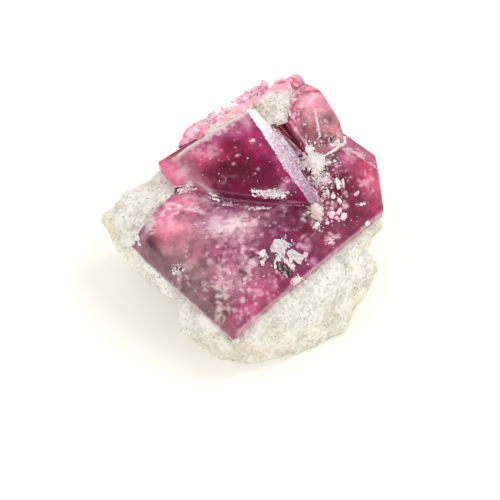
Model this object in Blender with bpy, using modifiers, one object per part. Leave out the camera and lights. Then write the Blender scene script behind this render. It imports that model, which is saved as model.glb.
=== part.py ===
"""Red beryl crystals on a piece of white rhyolite, a small mineral specimen.

Two tabular red crystals grown into each other lie on the rock: a wide lower one
and a thicker slab across its upper end, with a frosted bevel down its right side.
Behind them stand a rough pink crystal and a glassy broken one, with rhyolite and
white crust caught in the seams between them. The rock is cut flat where it rests.

All sizes below are millimetres, and the meshes are written in metres. Z is up,
the table is at Z = 0, X runs to the right and Y to the back. Each crystal has a
frame of its own, with its broad top face at z = 0 and its c axis along y.
"""

import math

import bmesh
import bpy
from mathutils import Matrix, Vector, noise

MM = 0.001
# Gap left between neighbours, and how close two corners may lie before they are merged.
GAP = 0.3
MERGE = 0.002
# Edge of the cube that each crystal block is cut from, far larger than any of them.
STOCK = 120.0
CUT_TOLERANCE = 1e-5

PRISM_ANGLE = 60.0
UPRIGHT = 90.0

# The lower crystal: its front corner, how far it turns about Z and leans to the front.
LOWER_CORNER = (-1.75, -10.0, 5.0)
LOWER_TURN = 41.5
LOWER_LEAN = 16.0
LOWER_OUTLINE = [(1.3, 0.35), (20.55, 0.3), (24.2, 5.4), (23.6, 9.1), (21.5, 14.6),
                 (8.0, 15.6), (4.1, 15.6), (0.75, 14.8), (0.3, 12.6)]
LOWER_DIPS = [UPRIGHT, 92, UPRIGHT, UPRIGHT, 100, UPRIGHT, 84, 66, PRISM_ANGLE]
LOWER_DEPTH = 3.4
BAND_DROP = 1.65
RIGHT_BEVEL_TOP = [(22.9, 5.3), (22.3, 9.0)]
RIGHT_BEVEL_DIP = 20

# The upper slab: its rear top corner, turn and lean.
UPPER_CORNER = (-0.3, 12.2, 13.9)
UPPER_TURN = 33.0
UPPER_LEAN = 24.0
UPPER_OUTLINE = [(-9.3, -1.6), (-7.2, -6.5), (-0.9, -11.1), (0, -11.9), (0, 0), (-9.0, 0)]
UPPER_DIPS = [95, 98, 80, 45, 84, 80]
UPPER_DEPTH = 4.2
STRIPE_DROP = 1.3
LEFT_BEVEL_TOP = [(-7.15, 0.0), (-7.6, -3.6)]
LEFT_BEVEL_DIP = 28

# The low step at the slab's left tip, in the slab's frame.
TIP_OUTLINE = [(-10.4, -2.4), (-6.0, -4.6), (-6.0, 0.5), (-10.4, 0.5)]
TIP_DIPS = [84, UPRIGHT, UPRIGHT, UPRIGHT]
TIP_TOP = -0.8
TIP_DEPTH = 2.6

# Thin growth steps down the right side of the slab: reach in x and height.
STEPS = [(1.9, -1.5), (2.5, -1.95), (3.1, -2.4)]
STEP_REAR = -1.4
STEP_FRONT = -8.4
STEP_DEPTH = 2.6

# Holes and chips: centre and radii in the crystal's frame.
LOWER_HOLES = {"left_pit": ((1.0, 9.1, 0.25), (0.75, 0.65, 0.8)),
               "right_pit": ((8.8, 2.2, 0.2), (0.65, 1.25, 0.95)),
               "edge_chip": ((7.9, 0.0, 0.4), (0.9, 0.7, 0.8)),
               "corner_chip": ((20.9, -0.1, 0.4), (1.0, 0.8, 0.8))}
# Grains grown onto the lower crystal: centre x, y, half length, half width, turn.
GRAINS = [(10.3, 4.1, 0.75, 0.6, 20), (10.7, 2.3, 0.8, 0.4, 70), (8.2, 4.6, 0.4, 0.3, 10),
          (8.2, 3.7, 0.35, 0.25, 60), (11.9, 3.5, 0.4, 0.3, 30), (18.9, 5.4, 0.5, 0.3, 80),
          (16.3, 3.5, 0.6, 0.45, 25), (17.7, 4.2, 0.4, 0.3, 55)]
GRAIN_HEIGHT = 0.25

# Rear crystal, in the slab's frame: the smooth prism and the rough rim behind the slab.
REAR_BLOCKS = [([(-8.3, 0.4), (-1.5, 0.4), (-1.5, 2.1), (-3.85, 2.15), (-5.4, 2.6)],
                [84, UPRIGHT, 104, 104, 98], -1.6, 4.2),
               ([(-3.6, 0.5), (-0.9, 0.5), (-0.9, 2.0), (-1.7, 2.1), (-2.8, 2.4), (-3.6, 2.1)],
                [84, UPRIGHT, 104, 104, 104, UPRIGHT], -1.45, 4.4),
               ([(-1.3, 0.5), (3.4, 0.5), (3.4, 1.9), (1.7, 2.1), (-1.3, 2.0)],
                [84, UPRIGHT, 106, 106, UPRIGHT], -1.35, 4.6),
               ([(2.6, -0.5), (6.8, -0.5), (6.75, 0.8), (6.3, 1.6), (5.8, 1.65), (4.4, 1.3),
                 (2.6, 1.8)], [84, UPRIGHT, 94, 104, 104, 104, UPRIGHT], -1.15, 4.8)]
REAR_HOLES = {"rim_scoop_left": ((-0.9, 2.7, -1.0), (0.9, 0.8, 0.7)),
              "rim_scoop_right": ((4.1, 1.9, -0.9), (0.9, 0.7, 0.9)),
              "prism_nick": ((-3.2, 0.9, -1.1), (0.7, 0.5, 0.6))}

# Broken crystal, in the slab's frame, with a long facet down its left side.
BROKEN_OUTLINE = [(3.1, -6.9), (4.0, -8.0), (6.5, -7.9), (7.3, -5.8), (7.35, -2.4),
                  (6.6, -0.95), (4.6, -0.95), (3.1, -3.0)]
BROKEN_DIPS = [84, 80, 88, UPRIGHT, UPRIGHT, 86, 84, 80]
BROKEN_TOP = 0.25
BROKEN_DEPTH = 4.6
BROKEN_FACET_TOP = [(4.9, -2.2), (4.0, -7.2)]
BROKEN_FACET_DIP = 38
BROKEN_HOLES = {"front_scoop": ((6.2, -8.4, 1.0), (1.9, 1.7, 1.6)),
                "middle_scoop": ((6.4, -5.2, 1.9), (1.5, 2.3, 2.0)),
                "rear_scoop": ((6.0, -0.9, 1.0), (1.4, 1.1, 1.1))}

# Rock caught between the crystals, and crust along the foot of the slab's right side:
# corners of each lump, in the slab's frame and in the lower crystal's frame.
SEAM_LUMPS = [[(0.5, 0.2, -0.9), (1.0, 0.9, -0.7), (3.6, 1.1, -0.5), (5.7, 0.4, -0.3),
               (4.7, -1.0, -0.2), (3.1, -2.9, -0.7), (1.6, -2.6, -1.1), (0.8, -0.6, -1.0),
               (2.6, -0.7, -0.1), (1.0, 0.6, -3.4), (5.0, 0.4, -3.4), (3.4, -2.6, -3.4),
               (1.6, -2.2, -3.4)],
              [(-5.4, 0.2, -0.35), (-3.0, 0.2, -0.1), (0.4, 0.2, -0.1), (2.0, 0.4, -0.3),
               (1.8, 1.1, -0.9), (-1.0, 1.2, -0.8), (-3.6, 1.0, -0.8), (-5.2, 0.6, -1.0),
               (-4.8, 0.4, -2.4), (1.6, 0.6, -2.4), (1.6, 0.2, -2.4)]]
CRUST_LUMPS = [[(20.6, 10.4, 1.2), (18.8, 10.2, 1.3), (17.3, 8.4, 1.1), (18.4, 7.4, 0.9),
                (20.4, 8.2, 1.0), (19.0, 8.9, 1.6), (17.6, 8.4, -1.0), (20.2, 8.6, -1.0),
                (20.0, 10.0, -1.0)],
               [(20.2, 9.8, 1.1), (22.8, 9.2, 1.0), (22.7, 8.0, 0.8), (20.1, 8.2, 0.9),
                (20.3, 9.4, -1.0), (22.4, 8.4, -1.0)],
               [(18.6, 8.6, 0.9), (17.3, 8.3, 1.0), (15.9, 5.6, 0.9), (16.9, 4.9, 0.8),
                (18.7, 6.2, 0.9), (17.4, 6.7, 1.15), (16.4, 5.6, -1.0), (18.2, 8.2, -1.0),
                (18.4, 6.3, -1.0)],
               [(17.2, 6.1, 0.95), (15.2, 5.4, 0.95), (13.5, 3.3, 0.8), (14.3, 2.6, 0.75),
                (16.6, 3.8, 0.85), (15.4, 4.2, 1.1), (14.0, 3.2, -1.0), (16.2, 3.9, -1.0),
                (16.8, 5.6, -1.0)]]

# The rock: corners of each lump, above the table.
ROCK_LUMPS = {
    "left_shelf": [(-15.4, 5.1, 5.9), (-14.0, 4.7, 6.8), (-12.4, 5.1, 7.8), (-10.9, 6.8, 8.4),
                   (-9.2, 7.9, 9.8), (-7.8, 6.0, 9.8), (-8.6, 3.9, 9.2), (-12.2, 1.2, 6.9),
                   (-15.6, 4.8, 5.2), (-14.6, 3.7, 4.4), (-13.1, 1.1, 3.7), (-10.7, -1.5, 3.3),
                   (-7.7, -3.6, 2.8), (-9.0, -1.0, 1.0), (-11.0, 3.0, 1.2), (-12.0, 6.0, 2.5),
                   (-7.0, 10.0, 2.0), (-6.0, 0.0, -1.2), (-5.0, 9.0, -1.2),
                   (-7.6, -3.9, 4.5), (-10.6, -0.4, 5.7)],
    "front_left_foot": [(-7.5, -4.3, 3.2), (-7.5, -5.6, 2.1), (-6.8, -6.6, 1.8),
                        (-5.0, -7.4, 1.9), (-3.6, -8.4, 0.9), (-3.0, -8.7, 0.0),
                        (-6.0, -5.3, 3.9), (-4.2, -7.3, 3.7), (-2.5, -9.1, 3.5),
                        (-1.4, -9.9, 3.9), (-0.4, -9.4, 4.0), (-1.2, -9.0, 0.6),
                        (-6.0, -2.0, 4.5), (-6.2, -4.8, -1.2), (-4.4, -6.4, -1.2),
                        (-2.6, -8.1, -1.2), (-5.0, 0.0, -1.2), (2.0, -7.4, -1.2),
                        (2.0, 0.0, -1.2), (0.0, 0.0, 4.0)],
    "front_face": [(-1.0, -9.4, 3.6), (1.3, -7.9, 4.9), (5.0, -4.7, 5.9), (8.5, -1.8, 6.7),
                   (10.2, 0.4, 7.0), (-1.0, -8.9, -1.2), (1.2, -9.2, -1.2), (5.4, -7.9, -1.2),
                   (8.8, -6.4, -1.2), (10.1, -4.9, 0.9), (10.3, -3.7, 2.6), (5.6, -6.7, 3.0),
                   (1.6, -8.9, 2.8), (8.8, -5.0, 2.8), (8.0, 6.0, -1.2), (-4.0, 6.0, -1.2),
                   (10.2, 1.0, -1.2), (0.0, 2.0, 6.0)],
    "right_ledge": [(10.3, 0.4, 5.2), (13.6, 1.0, 3.4), (12.3, 0.5, 4.5), (12.7, -0.6, 2.9),
                    (11.5, -2.5, 2.4), (10.3, -3.4, 1.9), (10.0, -3.0, -1.2),
                    (11.4, -1.6, -1.2), (12.8, 1.0, 0.6), (12.0, 3.0, -1.2),
                    (9.0, 3.0, -1.2), (9.0, 2.0, 5.0)],
    "right_shoulder": [(13.6, 2.8, 7.6), (13.5, 4.5, 7.0), (12.7, 2.1, 6.2), (11.9, 1.9, 5.2),
                       (8.8, -1.4, 6.6), (9.0, -0.5, 3.5), (12.9, 6.5, 6.8), (12.4, 9.0, 6.6),
                       (11.4, 5.0, 1.0), (11.3, 9.0, 0.5), (8.0, 3.0, -1.2),
                       (8.0, 10.0, -1.2), (9.0, 10.0, 7.0)],
    "middle": [(-7.0, -2.0, -1.2), (-7.5, 6.0, -1.2), (10.5, -1.0, -1.2), (11.3, 8.0, -1.2),
               (-7.0, -2.0, 3.5), (-7.5, 6.0, 6.0), (11.6, -0.5, 4.6), (12.2, 4.0, 4.6),
               (11.6, 8.0, 6.0)],
    "back": [(-9.2, 8.4, 9.0), (-7.0, 12.0, 8.4), (-2.0, 14.4, 9.4), (4.0, 16.4, 10.6),
             (8.2, 14.0, 10.4), (11.0, 10.6, 8.6), (12.0, 7.0, 7.2), (-8.0, 11.0, 1.4),
             (-3.0, 13.4, -1.2), (5.0, 14.6, -1.2), (9.6, 11.6, -1.2), (11.0, 5.0, -1.2),
             (-8.6, 4.0, -1.2), (0.0, 5.0, 8.0), (-5.2, 13.2, 5.0), (4.6, 16.2, 5.0)],
}
# Grain of the fused lumps, the triangles kept of each, and its swells: size and height.
ROCK_VOXEL = 0.62
ROCK_FACES = 3300
ROCK_SWELLS = [(4.0, 0.42), (1.6, 0.24)]
ROUGH_VOXEL = 0.34
SEAM_FACES = 900
CRUST_FACES = 480
ROUGH_SWELLS = [(1.1, 0.16)]
ROCK_SEED = 3
SEAM_SEED = 13
CRUST_SEED = 11

COLOURS = {"rhyolite_matrix": (0.83, 0.81, 0.75, 1), "main_crystal": (0.47, 0.05, 0.16, 1),
           "rear_crystal": (0.80, 0.25, 0.40, 1), "broken_crystal": (0.62, 0.13, 0.22, 1),
           "seam_rhyolite": (0.80, 0.76, 0.66, 1), "white_crust": (0.90, 0.87, 0.84, 1)}
ROUGHNESS = {"rhyolite_matrix": 0.9, "main_crystal": 0.2, "rear_crystal": 0.3,
             "broken_crystal": 0.12, "seam_rhyolite": 0.9, "white_crust": 0.8}


def clear_scene():
    """Remove every object that the file opened with."""
    for leftover in list(bpy.data.objects):
        bpy.data.objects.remove(leftover)


def new_collection(name):
    """A collection under the scene's own."""
    made = bpy.data.collections.new(name)
    bpy.context.scene.collection.children.link(made)
    return made


def new_object(name, shape, collection):
    """Turn a bmesh in millimetres into an object in metres."""
    bmesh.ops.scale(shape, vec=(MM, MM, MM), verts=shape.verts)
    bmesh.ops.recalc_face_normals(shape, faces=shape.faces)
    mesh = bpy.data.meshes.new(name)
    shape.to_mesh(mesh)
    shape.free()
    made = bpy.data.objects.new(name, mesh)
    collection.objects.link(made)
    return made


def crystal_frame(corner, turn, lean):
    """The frame of a crystal that is turned about Z and then leans to the front."""
    leaning = Matrix.Rotation(math.radians(lean), 4, "X")
    return Matrix.Translation(corner) @ leaning @ Matrix.Rotation(math.radians(turn), 4, "Z")


def side_plane(start, end, top, dip):
    """Plane through one side of an outline, turned down from the top face by dip degrees."""
    along = Vector(end) - Vector(start)
    outward = Vector((along.y, -along.x, 0)).normalized()
    angle = math.radians(dip)
    normal = outward * math.sin(angle) + Vector((0, 0, math.cos(angle)))
    return Vector((start[0], start[1], top)), normal


def block_planes(outline, dips, top, depth):
    """Top, bottom and sides of a crystal block whose outline runs anticlockwise."""
    planes = [(Vector((0, 0, top)), Vector((0, 0, 1))),
              (Vector((0, 0, top - depth)), Vector((0, 0, -1)))]
    for index, dip in enumerate(dips):
        end = outline[(index + 1) % len(outline)]
        planes.append(side_plane(outline[index], end, top, dip))
    return planes


def cut_block(name, frame, planes, grow, collection):
    """Cut a block out of a large cube, one plane for each crystal face."""
    shape = bmesh.new()
    bmesh.ops.create_cube(shape, size=STOCK)
    for point, normal in planes:
        everything = shape.verts[:] + shape.edges[:] + shape.faces[:]
        cut = bmesh.ops.bisect_plane(shape, geom=everything, dist=CUT_TOLERANCE,
                                     clear_outer=True, plane_co=point + normal * grow, plane_no=normal)
        rim = [item for item in cut["geom_cut"] if isinstance(item, bmesh.types.BMEdge)]
        if rim:
            bmesh.ops.contextual_create(shape, geom=rim)
    bmesh.ops.triangulate(shape, faces=shape.faces)
    bmesh.ops.transform(shape, matrix=frame, verts=shape.verts)
    return new_object(name, shape, collection)


def hole_cutter(name, frame, centre, radii, collection):
    """An egg-shaped cutter for a pit, chip or shell-like break."""
    shape = bmesh.new()
    place = frame @ Matrix.Translation(centre) @ Matrix.Diagonal((*radii, 1))
    bmesh.ops.create_icosphere(shape, subdivisions=2, radius=1, matrix=place)
    return new_object(name, shape, collection)


def hull_lump(corners, frame):
    """The convex lump that fits round its corners."""
    shape = bmesh.new()
    for corner in corners:
        shape.verts.new(frame @ Vector(corner))
    hull = bmesh.ops.convex_hull(shape, input=shape.verts)
    spare = {item for item in hull["geom_interior"] + hull["geom_unused"]
             if isinstance(item, bmesh.types.BMVert)}
    bmesh.ops.delete(shape, geom=list(spare), context="VERTS")
    return shape


def boolean(target, operand, operation, solver="EXACT"):
    """Join or cut the target with another object, and keep the result."""
    step = target.modifiers.new(operation.lower(), "BOOLEAN")
    step.object = operand
    step.operation = operation
    step.solver = solver
    settle(target)


def guide(made):
    """Mark an object as a cutter, which is no part of the specimen."""
    made.hide_render = True
    made.display_type = "WIRE"


def settle(made):
    """Make the object's modifiers part of its mesh, in triangles."""
    graph = bpy.context.evaluated_depsgraph_get()
    finished = bpy.data.meshes.new_from_object(made.evaluated_get(graph))
    shape = bmesh.new()
    shape.from_mesh(finished)
    bmesh.ops.remove_doubles(shape, verts=shape.verts, dist=MERGE * MM)
    bmesh.ops.dissolve_degenerate(shape, edges=shape.edges, dist=MERGE * MM)
    bmesh.ops.triangulate(shape, faces=shape.faces)
    shape.to_mesh(finished)
    shape.free()
    made.modifiers.clear()
    made.data = finished


def swell(made, swells, seed):
    """Push the surface in and out along its normals by layers of smooth noise."""
    made.data.update()
    for vertex in made.data.vertices:
        lift = 0.0
        for size, height in swells:
            lift += height * noise.noise(vertex.co / (size * MM) + Vector((seed, 0, 0)))
        vertex.co += vertex.normal * lift * MM


def lumpy_solid(name, lumps, frame, voxel, swells, seed, collection):
    """Fuse lumps into one rough solid."""
    made = None
    for index, corners in enumerate(lumps):
        piece = new_object(f"{name}_lump_{index}", hull_lump(corners, frame), collection)
        if made is None:
            made = piece
            continue
        boolean(made, piece, "UNION")
        bpy.data.objects.remove(piece)
    fuse = made.modifiers.new("fuse", "REMESH")
    fuse.mode = "VOXEL"
    fuse.voxel_size = voxel * MM
    settle(made)
    swell(made, swells, seed)
    made.name = name
    return made


def thin_out(made, faces):
    """Keep about this many triangles, more where the surface bends."""
    fewer = made.modifiers.new("fewer_faces", "DECIMATE")
    fewer.ratio = faces / len(made.data.polygons)
    settle(made)


def drop_crumbs(made):
    """Keep the one body with the most corners, where cutting left crumbs beside it."""
    shape = bmesh.new()
    shape.from_mesh(made.data)
    loose = set(shape.verts)
    bodies = []
    while loose:
        body = {loose.pop()}
        edge_of_body = list(body)
        while edge_of_body:
            corner = edge_of_body.pop()
            found = {edge.other_vert(corner) for edge in corner.link_edges} - body
            body |= found
            edge_of_body += list(found)
        loose -= body
        bodies.append(body)
    bodies.sort(key=len)
    crumbs = [corner for body in bodies[:-1] for corner in body]
    bmesh.ops.delete(shape, geom=crumbs, context="VERTS")
    shape.to_mesh(made.data)
    shape.free()


def flatten_base(made):
    """Cut the rock flat at the table."""
    shape = bmesh.new()
    shape.from_mesh(made.data)
    everything = shape.verts[:] + shape.edges[:] + shape.faces[:]
    cut = bmesh.ops.bisect_plane(shape, geom=everything, dist=CUT_TOLERANCE * MM,
                                 clear_inner=True, plane_co=(0, 0, 0), plane_no=(0, 0, 1))
    rim = [item for item in cut["geom_cut"] if isinstance(item, bmesh.types.BMEdge)]
    bmesh.ops.holes_fill(shape, edges=rim)
    bmesh.ops.triangulate(shape, faces=shape.faces)
    shape.to_mesh(made.data)
    shape.free()


def lower_frame():
    """Frame of the lower crystal."""
    return crystal_frame(LOWER_CORNER, LOWER_TURN, LOWER_LEAN)


def upper_frame():
    """Frame of the upper slab, which the rear crystals share."""
    return crystal_frame(UPPER_CORNER, UPPER_TURN, UPPER_LEAN)


def lower_planes():
    """Faces of the lower crystal, with the next prism face under its left band."""
    planes = block_planes(LOWER_OUTLINE, LOWER_DIPS, 0.0, LOWER_DEPTH)
    run = BAND_DROP / math.tan(math.radians(PRISM_ANGLE))
    start, end = LOWER_OUTLINE[-1], LOWER_OUTLINE[0]
    start, end = (start[0] - run, start[1]), (end[0] - run, end[1])
    planes.append(side_plane(start, end, -BAND_DROP, 2 * PRISM_ANGLE))
    planes.append(side_plane(*RIGHT_BEVEL_TOP, 0.0, RIGHT_BEVEL_DIP))
    return planes


def upper_planes():
    """Faces of the upper slab, with its left bevel and the wall below its stripe."""
    planes = block_planes(UPPER_OUTLINE, UPPER_DIPS, 0.0, UPPER_DEPTH)
    planes.append(side_plane(*LEFT_BEVEL_TOP, 0.0, LEFT_BEVEL_DIP))
    planes.append((Vector((STRIPE_DROP, 0, 0)), Vector((1, 0, 0))))
    return planes


def step_blocks():
    """Faces of each growth step beside the stripe."""
    blocks = []
    for reach, top in STEPS:
        outline = [(-1.0, STEP_FRONT), (reach, STEP_FRONT + 0.6), (reach, STEP_REAR),
                   (-1.0, STEP_REAR)]
        blocks.append(block_planes(outline, [80, 78, 80, UPRIGHT], top, STEP_DEPTH))
    return blocks


def main_blocks():
    """Name, frame and faces of the blocks that the main crystal is joined from."""
    blocks = [("lower_block", lower_frame(), lower_planes()),
              ("upper_block", upper_frame(), upper_planes()),
              ("tip_block", upper_frame(), block_planes(TIP_OUTLINE, TIP_DIPS, TIP_TOP, TIP_DEPTH))]
    for index, planes in enumerate(step_blocks()):
        blocks.append((f"step_block_{index}", upper_frame(), planes))
    return blocks


def rear_blocks():
    """Name, frame and faces of the rear crystal's blocks."""
    return [(f"rear_block_{index}", upper_frame(), block_planes(*block))
            for index, block in enumerate(REAR_BLOCKS)]


def broken_blocks():
    """Name, frame and faces of the broken crystal."""
    planes = block_planes(BROKEN_OUTLINE, BROKEN_DIPS, BROKEN_TOP, BROKEN_DEPTH)
    planes.append(side_plane(*BROKEN_FACET_TOP, BROKEN_TOP, BROKEN_FACET_DIP))
    return [("broken_block", upper_frame(), planes)]


def joined_blocks(name, blocks, grow, collection, spares):
    """One solid from crystal blocks, grown outwards on every face."""
    first, *others = blocks
    made = cut_block(name, first[1], first[2], grow, collection)
    for block_name, frame, planes in others:
        piece = cut_block(f"{name}_{block_name}", frame, planes, grow, spares)
        guide(piece)
        boolean(made, piece, "UNION")
    return made


def cut_holes(made, frame, holes, spares):
    """Cut pits, chips and breaks into a crystal."""
    for name, (centre, radii) in holes.items():
        cutter = hole_cutter(name, frame, centre, radii, spares)
        guide(cutter)
        boolean(made, cutter, "DIFFERENCE")


def grow_grains(made, spares):
    """Fuse the flat grains onto the lower crystal's top."""
    for index, (x, y, length, width, turn) in enumerate(GRAINS):
        planes = block_planes([(-length, -width), (length, -width), (length * 0.7, width),
                               (-length, width * 0.8)], [65, 60, 65, 60], GRAIN_HEIGHT, 1.0)
        spin = Matrix.Rotation(math.radians(turn), 4, "Z")
        place = lower_frame() @ Matrix.Translation((x, y, 0)) @ spin
        grain = cut_block(f"grain_{index}", place, planes, 0.0, spares)
        guide(grain)
        boolean(made, grain, "UNION")


def finish_material(made):
    """Give a part its own Principled material."""
    coat = bpy.data.materials.new(made.name)
    coat.use_nodes = True
    shader = coat.node_tree.nodes["Principled BSDF"]
    shader.inputs["Base Color"].default_value = COLOURS[made.name]
    shader.inputs["Roughness"].default_value = ROUGHNESS[made.name]
    shader.inputs["Metallic"].default_value = 0.0
    made.data.materials.clear()
    made.data.materials.append(coat)


def make_main_crystal(parts, spares):
    """The lower crystal and the upper slab, grown into each other."""
    made = joined_blocks("main_crystal", main_blocks(), 0.0, parts, spares)
    grow_grains(made, spares)
    cut_holes(made, lower_frame(), LOWER_HOLES, spares)


def make_rear_crystal(parts, spares, main_space):
    """The pink prism and rough rim behind the slab."""
    made = joined_blocks("rear_crystal", rear_blocks(), 0.0, parts, spares)
    cut_holes(made, upper_frame(), REAR_HOLES, spares)
    boolean(made, main_space, "DIFFERENCE")


def make_broken_crystal(parts, spares, spaces):
    """The glassy crystal with shell-like breaks."""
    made = joined_blocks("broken_crystal", broken_blocks(), 0.0, parts, spares)
    cut_holes(made, upper_frame(), BROKEN_HOLES, spares)
    for space in spaces:
        boolean(made, space, "DIFFERENCE")


def fit_between(made, spaces):
    """Cut away what the crystals need and keep the largest body that is left."""
    for space in spaces:
        boolean(made, space, "DIFFERENCE", "MANIFOLD")
    drop_crumbs(made)


def make_seam(parts, spaces):
    """The rock caught between the slab and the crystals behind it."""
    made = lumpy_solid("seam_rhyolite", SEAM_LUMPS, upper_frame(), ROUGH_VOXEL, ROUGH_SWELLS,
                       SEAM_SEED, parts)
    thin_out(made, SEAM_FACES)
    fit_between(made, spaces)


def make_crust(parts, spaces):
    """The white crust along the foot of the slab's right side."""
    made = lumpy_solid("white_crust", CRUST_LUMPS, lower_frame(), ROUGH_VOXEL, ROUGH_SWELLS,
                       CRUST_SEED, parts)
    thin_out(made, CRUST_FACES)
    fit_between(made, spaces)


def make_rock(parts, spaces):
    """The rhyolite under everything, cut flat where it rests."""
    made = lumpy_solid("rhyolite_matrix", list(ROCK_LUMPS.values()), Matrix.Identity(4),
                       ROCK_VOXEL, ROCK_SWELLS, ROCK_SEED, parts)
    thin_out(made, ROCK_FACES)
    flatten_base(made)
    fit_between(made, spaces)


def stand_on_origin(parts, spares):
    """Put the middle of the whole specimen's base at the origin."""
    graph = bpy.context.evaluated_depsgraph_get()
    corners = []
    for made in parts.objects:
        mesh = made.evaluated_get(graph).data
        corners += [made.matrix_world @ vertex.co for vertex in mesh.vertices]
    low = Vector([min(corner[axis] for corner in corners) for axis in range(3)])
    high = Vector([max(corner[axis] for corner in corners) for axis in range(3)])
    shift = Vector((-(low.x + high.x) / 2, -(low.y + high.y) / 2, -low.z))
    for made in list(parts.objects) + list(spares.objects):
        made.location = made.location + shift


def main():
    """Build the specimen."""
    clear_scene()
    parts = new_collection("red_beryl_on_matrix")
    spares = new_collection("cutters")
    main_space = joined_blocks("main_space", main_blocks(), GAP, spares, spares)
    rear_space = joined_blocks("rear_space", rear_blocks(), GAP, spares, spares)
    broken_space = joined_blocks("broken_space", broken_blocks(), GAP, spares, spares)
    for space in (main_space, rear_space, broken_space):
        guide(space)
    crystals = [main_space, rear_space, broken_space]
    make_main_crystal(parts, spares)
    make_rear_crystal(parts, spares, main_space)
    make_broken_crystal(parts, spares, [main_space, rear_space])
    make_seam(parts, crystals)
    make_crust(parts, crystals)
    make_rock(parts, crystals)
    for made in parts.objects:
        finish_material(made)
    stand_on_origin(parts, spares)


if __name__ == "__main__":
    main()
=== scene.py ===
"""Looks of a red beryl specimen: glassy red crystals on a piece of white rhyolite.

Each piece starts as a skin of even small faces over its CAD solid. The skin then settles
on a shape worked out with numpy: crystal faces are planes with softly rounded edges, pits
are egg-shaped hollows, and rock is layers of smooth noise. The crystals are clear, with
plain absorption, and hold flakes and veils; white grains and crust lie on them.

Lengths in this file are millimetres until a mesh is written. Z is up, X runs to the right
and Y to the back. The two big crystals have frames of their own, with z out of the broad
top face and the c axis along y.
"""

import logging
import math
from dataclasses import dataclass, field
from enum import Enum
from typing import Iterable, Optional, Sequence

import bmesh
import bpy
import numpy as np
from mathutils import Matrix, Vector


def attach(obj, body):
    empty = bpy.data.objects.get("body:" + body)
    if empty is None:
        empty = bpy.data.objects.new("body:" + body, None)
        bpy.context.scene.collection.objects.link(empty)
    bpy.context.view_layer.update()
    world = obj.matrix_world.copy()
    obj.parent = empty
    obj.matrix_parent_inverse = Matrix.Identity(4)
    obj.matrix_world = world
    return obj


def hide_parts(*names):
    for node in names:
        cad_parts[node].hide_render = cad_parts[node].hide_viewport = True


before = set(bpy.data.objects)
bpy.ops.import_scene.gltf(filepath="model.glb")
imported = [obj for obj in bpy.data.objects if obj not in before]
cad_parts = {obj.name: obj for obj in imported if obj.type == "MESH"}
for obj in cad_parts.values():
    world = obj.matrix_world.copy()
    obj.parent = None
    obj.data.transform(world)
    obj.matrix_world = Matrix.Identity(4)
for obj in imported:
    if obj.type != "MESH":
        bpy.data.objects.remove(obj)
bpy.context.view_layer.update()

LOG = logging.getLogger("red_beryl")
MM = 0.001
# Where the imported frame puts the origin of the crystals' own drawing.
DRAWING_SHIFT = np.array([0.887, -3.980, 0.0])
# Dips of a crystal's sides in degrees: square to the top, and across a prism's edge.
UPRIGHT = 90.0
PRISM_ANGLE = 60.0
BERYL_INDEX = 1.57
MERGE_GAP = 1e-6
TINY = 1e-9
# How far below a crystal's top face marks still reach, and how softly they end.
TOP_DEPTH, TOP_FADE = 1.9, 1.1
# How deep in a crystal its flakes and spots have to lie.
FLAKE_INSIDE, SPOT_INSIDE = 0.03, 0.04
# Cell width and height of the noises that make a zone's rim uneven and marble a crystal, and
# how much haze the marbling's dark parts get.
ZONE_RIM = [(1.5, 0.26), (0.6, 0.16), (0.27, 0.08)]
MARBLE = [(1.2, 0.30), (0.5, 0.24), (0.25, 0.16)]
MARBLE_HAZE = 0.25
# How fast zones and clouds fall off from their middle, and how even a zone's middle is.
ZONE_FALL, ZONE_POWER, CLOUD_FALL = 1.1, 2.6, 1.5
# The light that a face sends back: a part that gloss gives, a part by its colour, and how much
# more of it a milky place sends.
GLOSS_PART, COLOUR_PART, MILK_GAIN = 0.1, 1.1, 1.15
# Spread of the sizes of flakes and spots and of grit, and the least share of a size that one
# side of a solid may have.
SIZE_SPREAD, GRIT_SPREAD, LEAST_SIDE = 0.35, 0.45, 0.35
# What scrambles a lattice corner's whole numbers, and how far apart the seeds of layers are.
LATTICE_WAVES = np.array([127.1, 311.7, 74.7])
SEED_WAVE, SCRAMBLE, LAYER_STEP = 17.31, 43758.5453, 7.7

Pair = tuple[float, float]
Triple = tuple[float, float, float]


def linear(code: str) -> tuple[float, float, float, float]:
    """Turn an sRGB hex colour into linear red, green, blue and alpha.

    A share c up to 0.04045 is divided by 12.92, and a larger one is (c + 0.055) / 1.055 to
    the power 2.4.

    Args:
        code: Six hex digits.

    Returns:
        Four numbers from 0 to 1.
    """
    shares = [int(code[place:place + 2], 16) / 255 for place in (0, 2, 4)]
    red, green, blue = [c / 12.92 if c <= 0.04045 else ((c + 0.055) / 1.055) ** 2.4 for c in shares]
    return red, green, blue, 1.0


def corner_values(cells: np.ndarray, seed: float) -> np.ndarray:
    """One value from -1 to 1 for each lattice corner: the fraction of a large sine."""
    scrambled = np.sin(cells @ LATTICE_WAVES + SEED_WAVE * seed) * SCRAMBLE
    return 2.0 * (scrambled - np.floor(scrambled)) - 1.0


def smooth_noise(points: np.ndarray, size: float, seed: float) -> np.ndarray:
    """Smooth noise: lattice values blended by a cubic between the eight corners of a cell.

    Args:
        points: Places, one row each, in millimetres.
        size: Width of a lattice cell in millimetres.
        seed: Number that picks the pattern.

    Returns:
        One value from -1 to 1 for each place.
    """
    scaled = points / size
    base = np.floor(scaled)
    part = scaled - base
    blend = part * part * (3.0 - 2.0 * part)
    total = np.zeros(len(points))
    for corner in np.ndindex(2, 2, 2):
        share = np.prod(np.where(np.array(corner) == 1, blend, 1.0 - blend), axis=1)
        total += share * corner_values(base + np.array(corner), seed)
    return total


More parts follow.
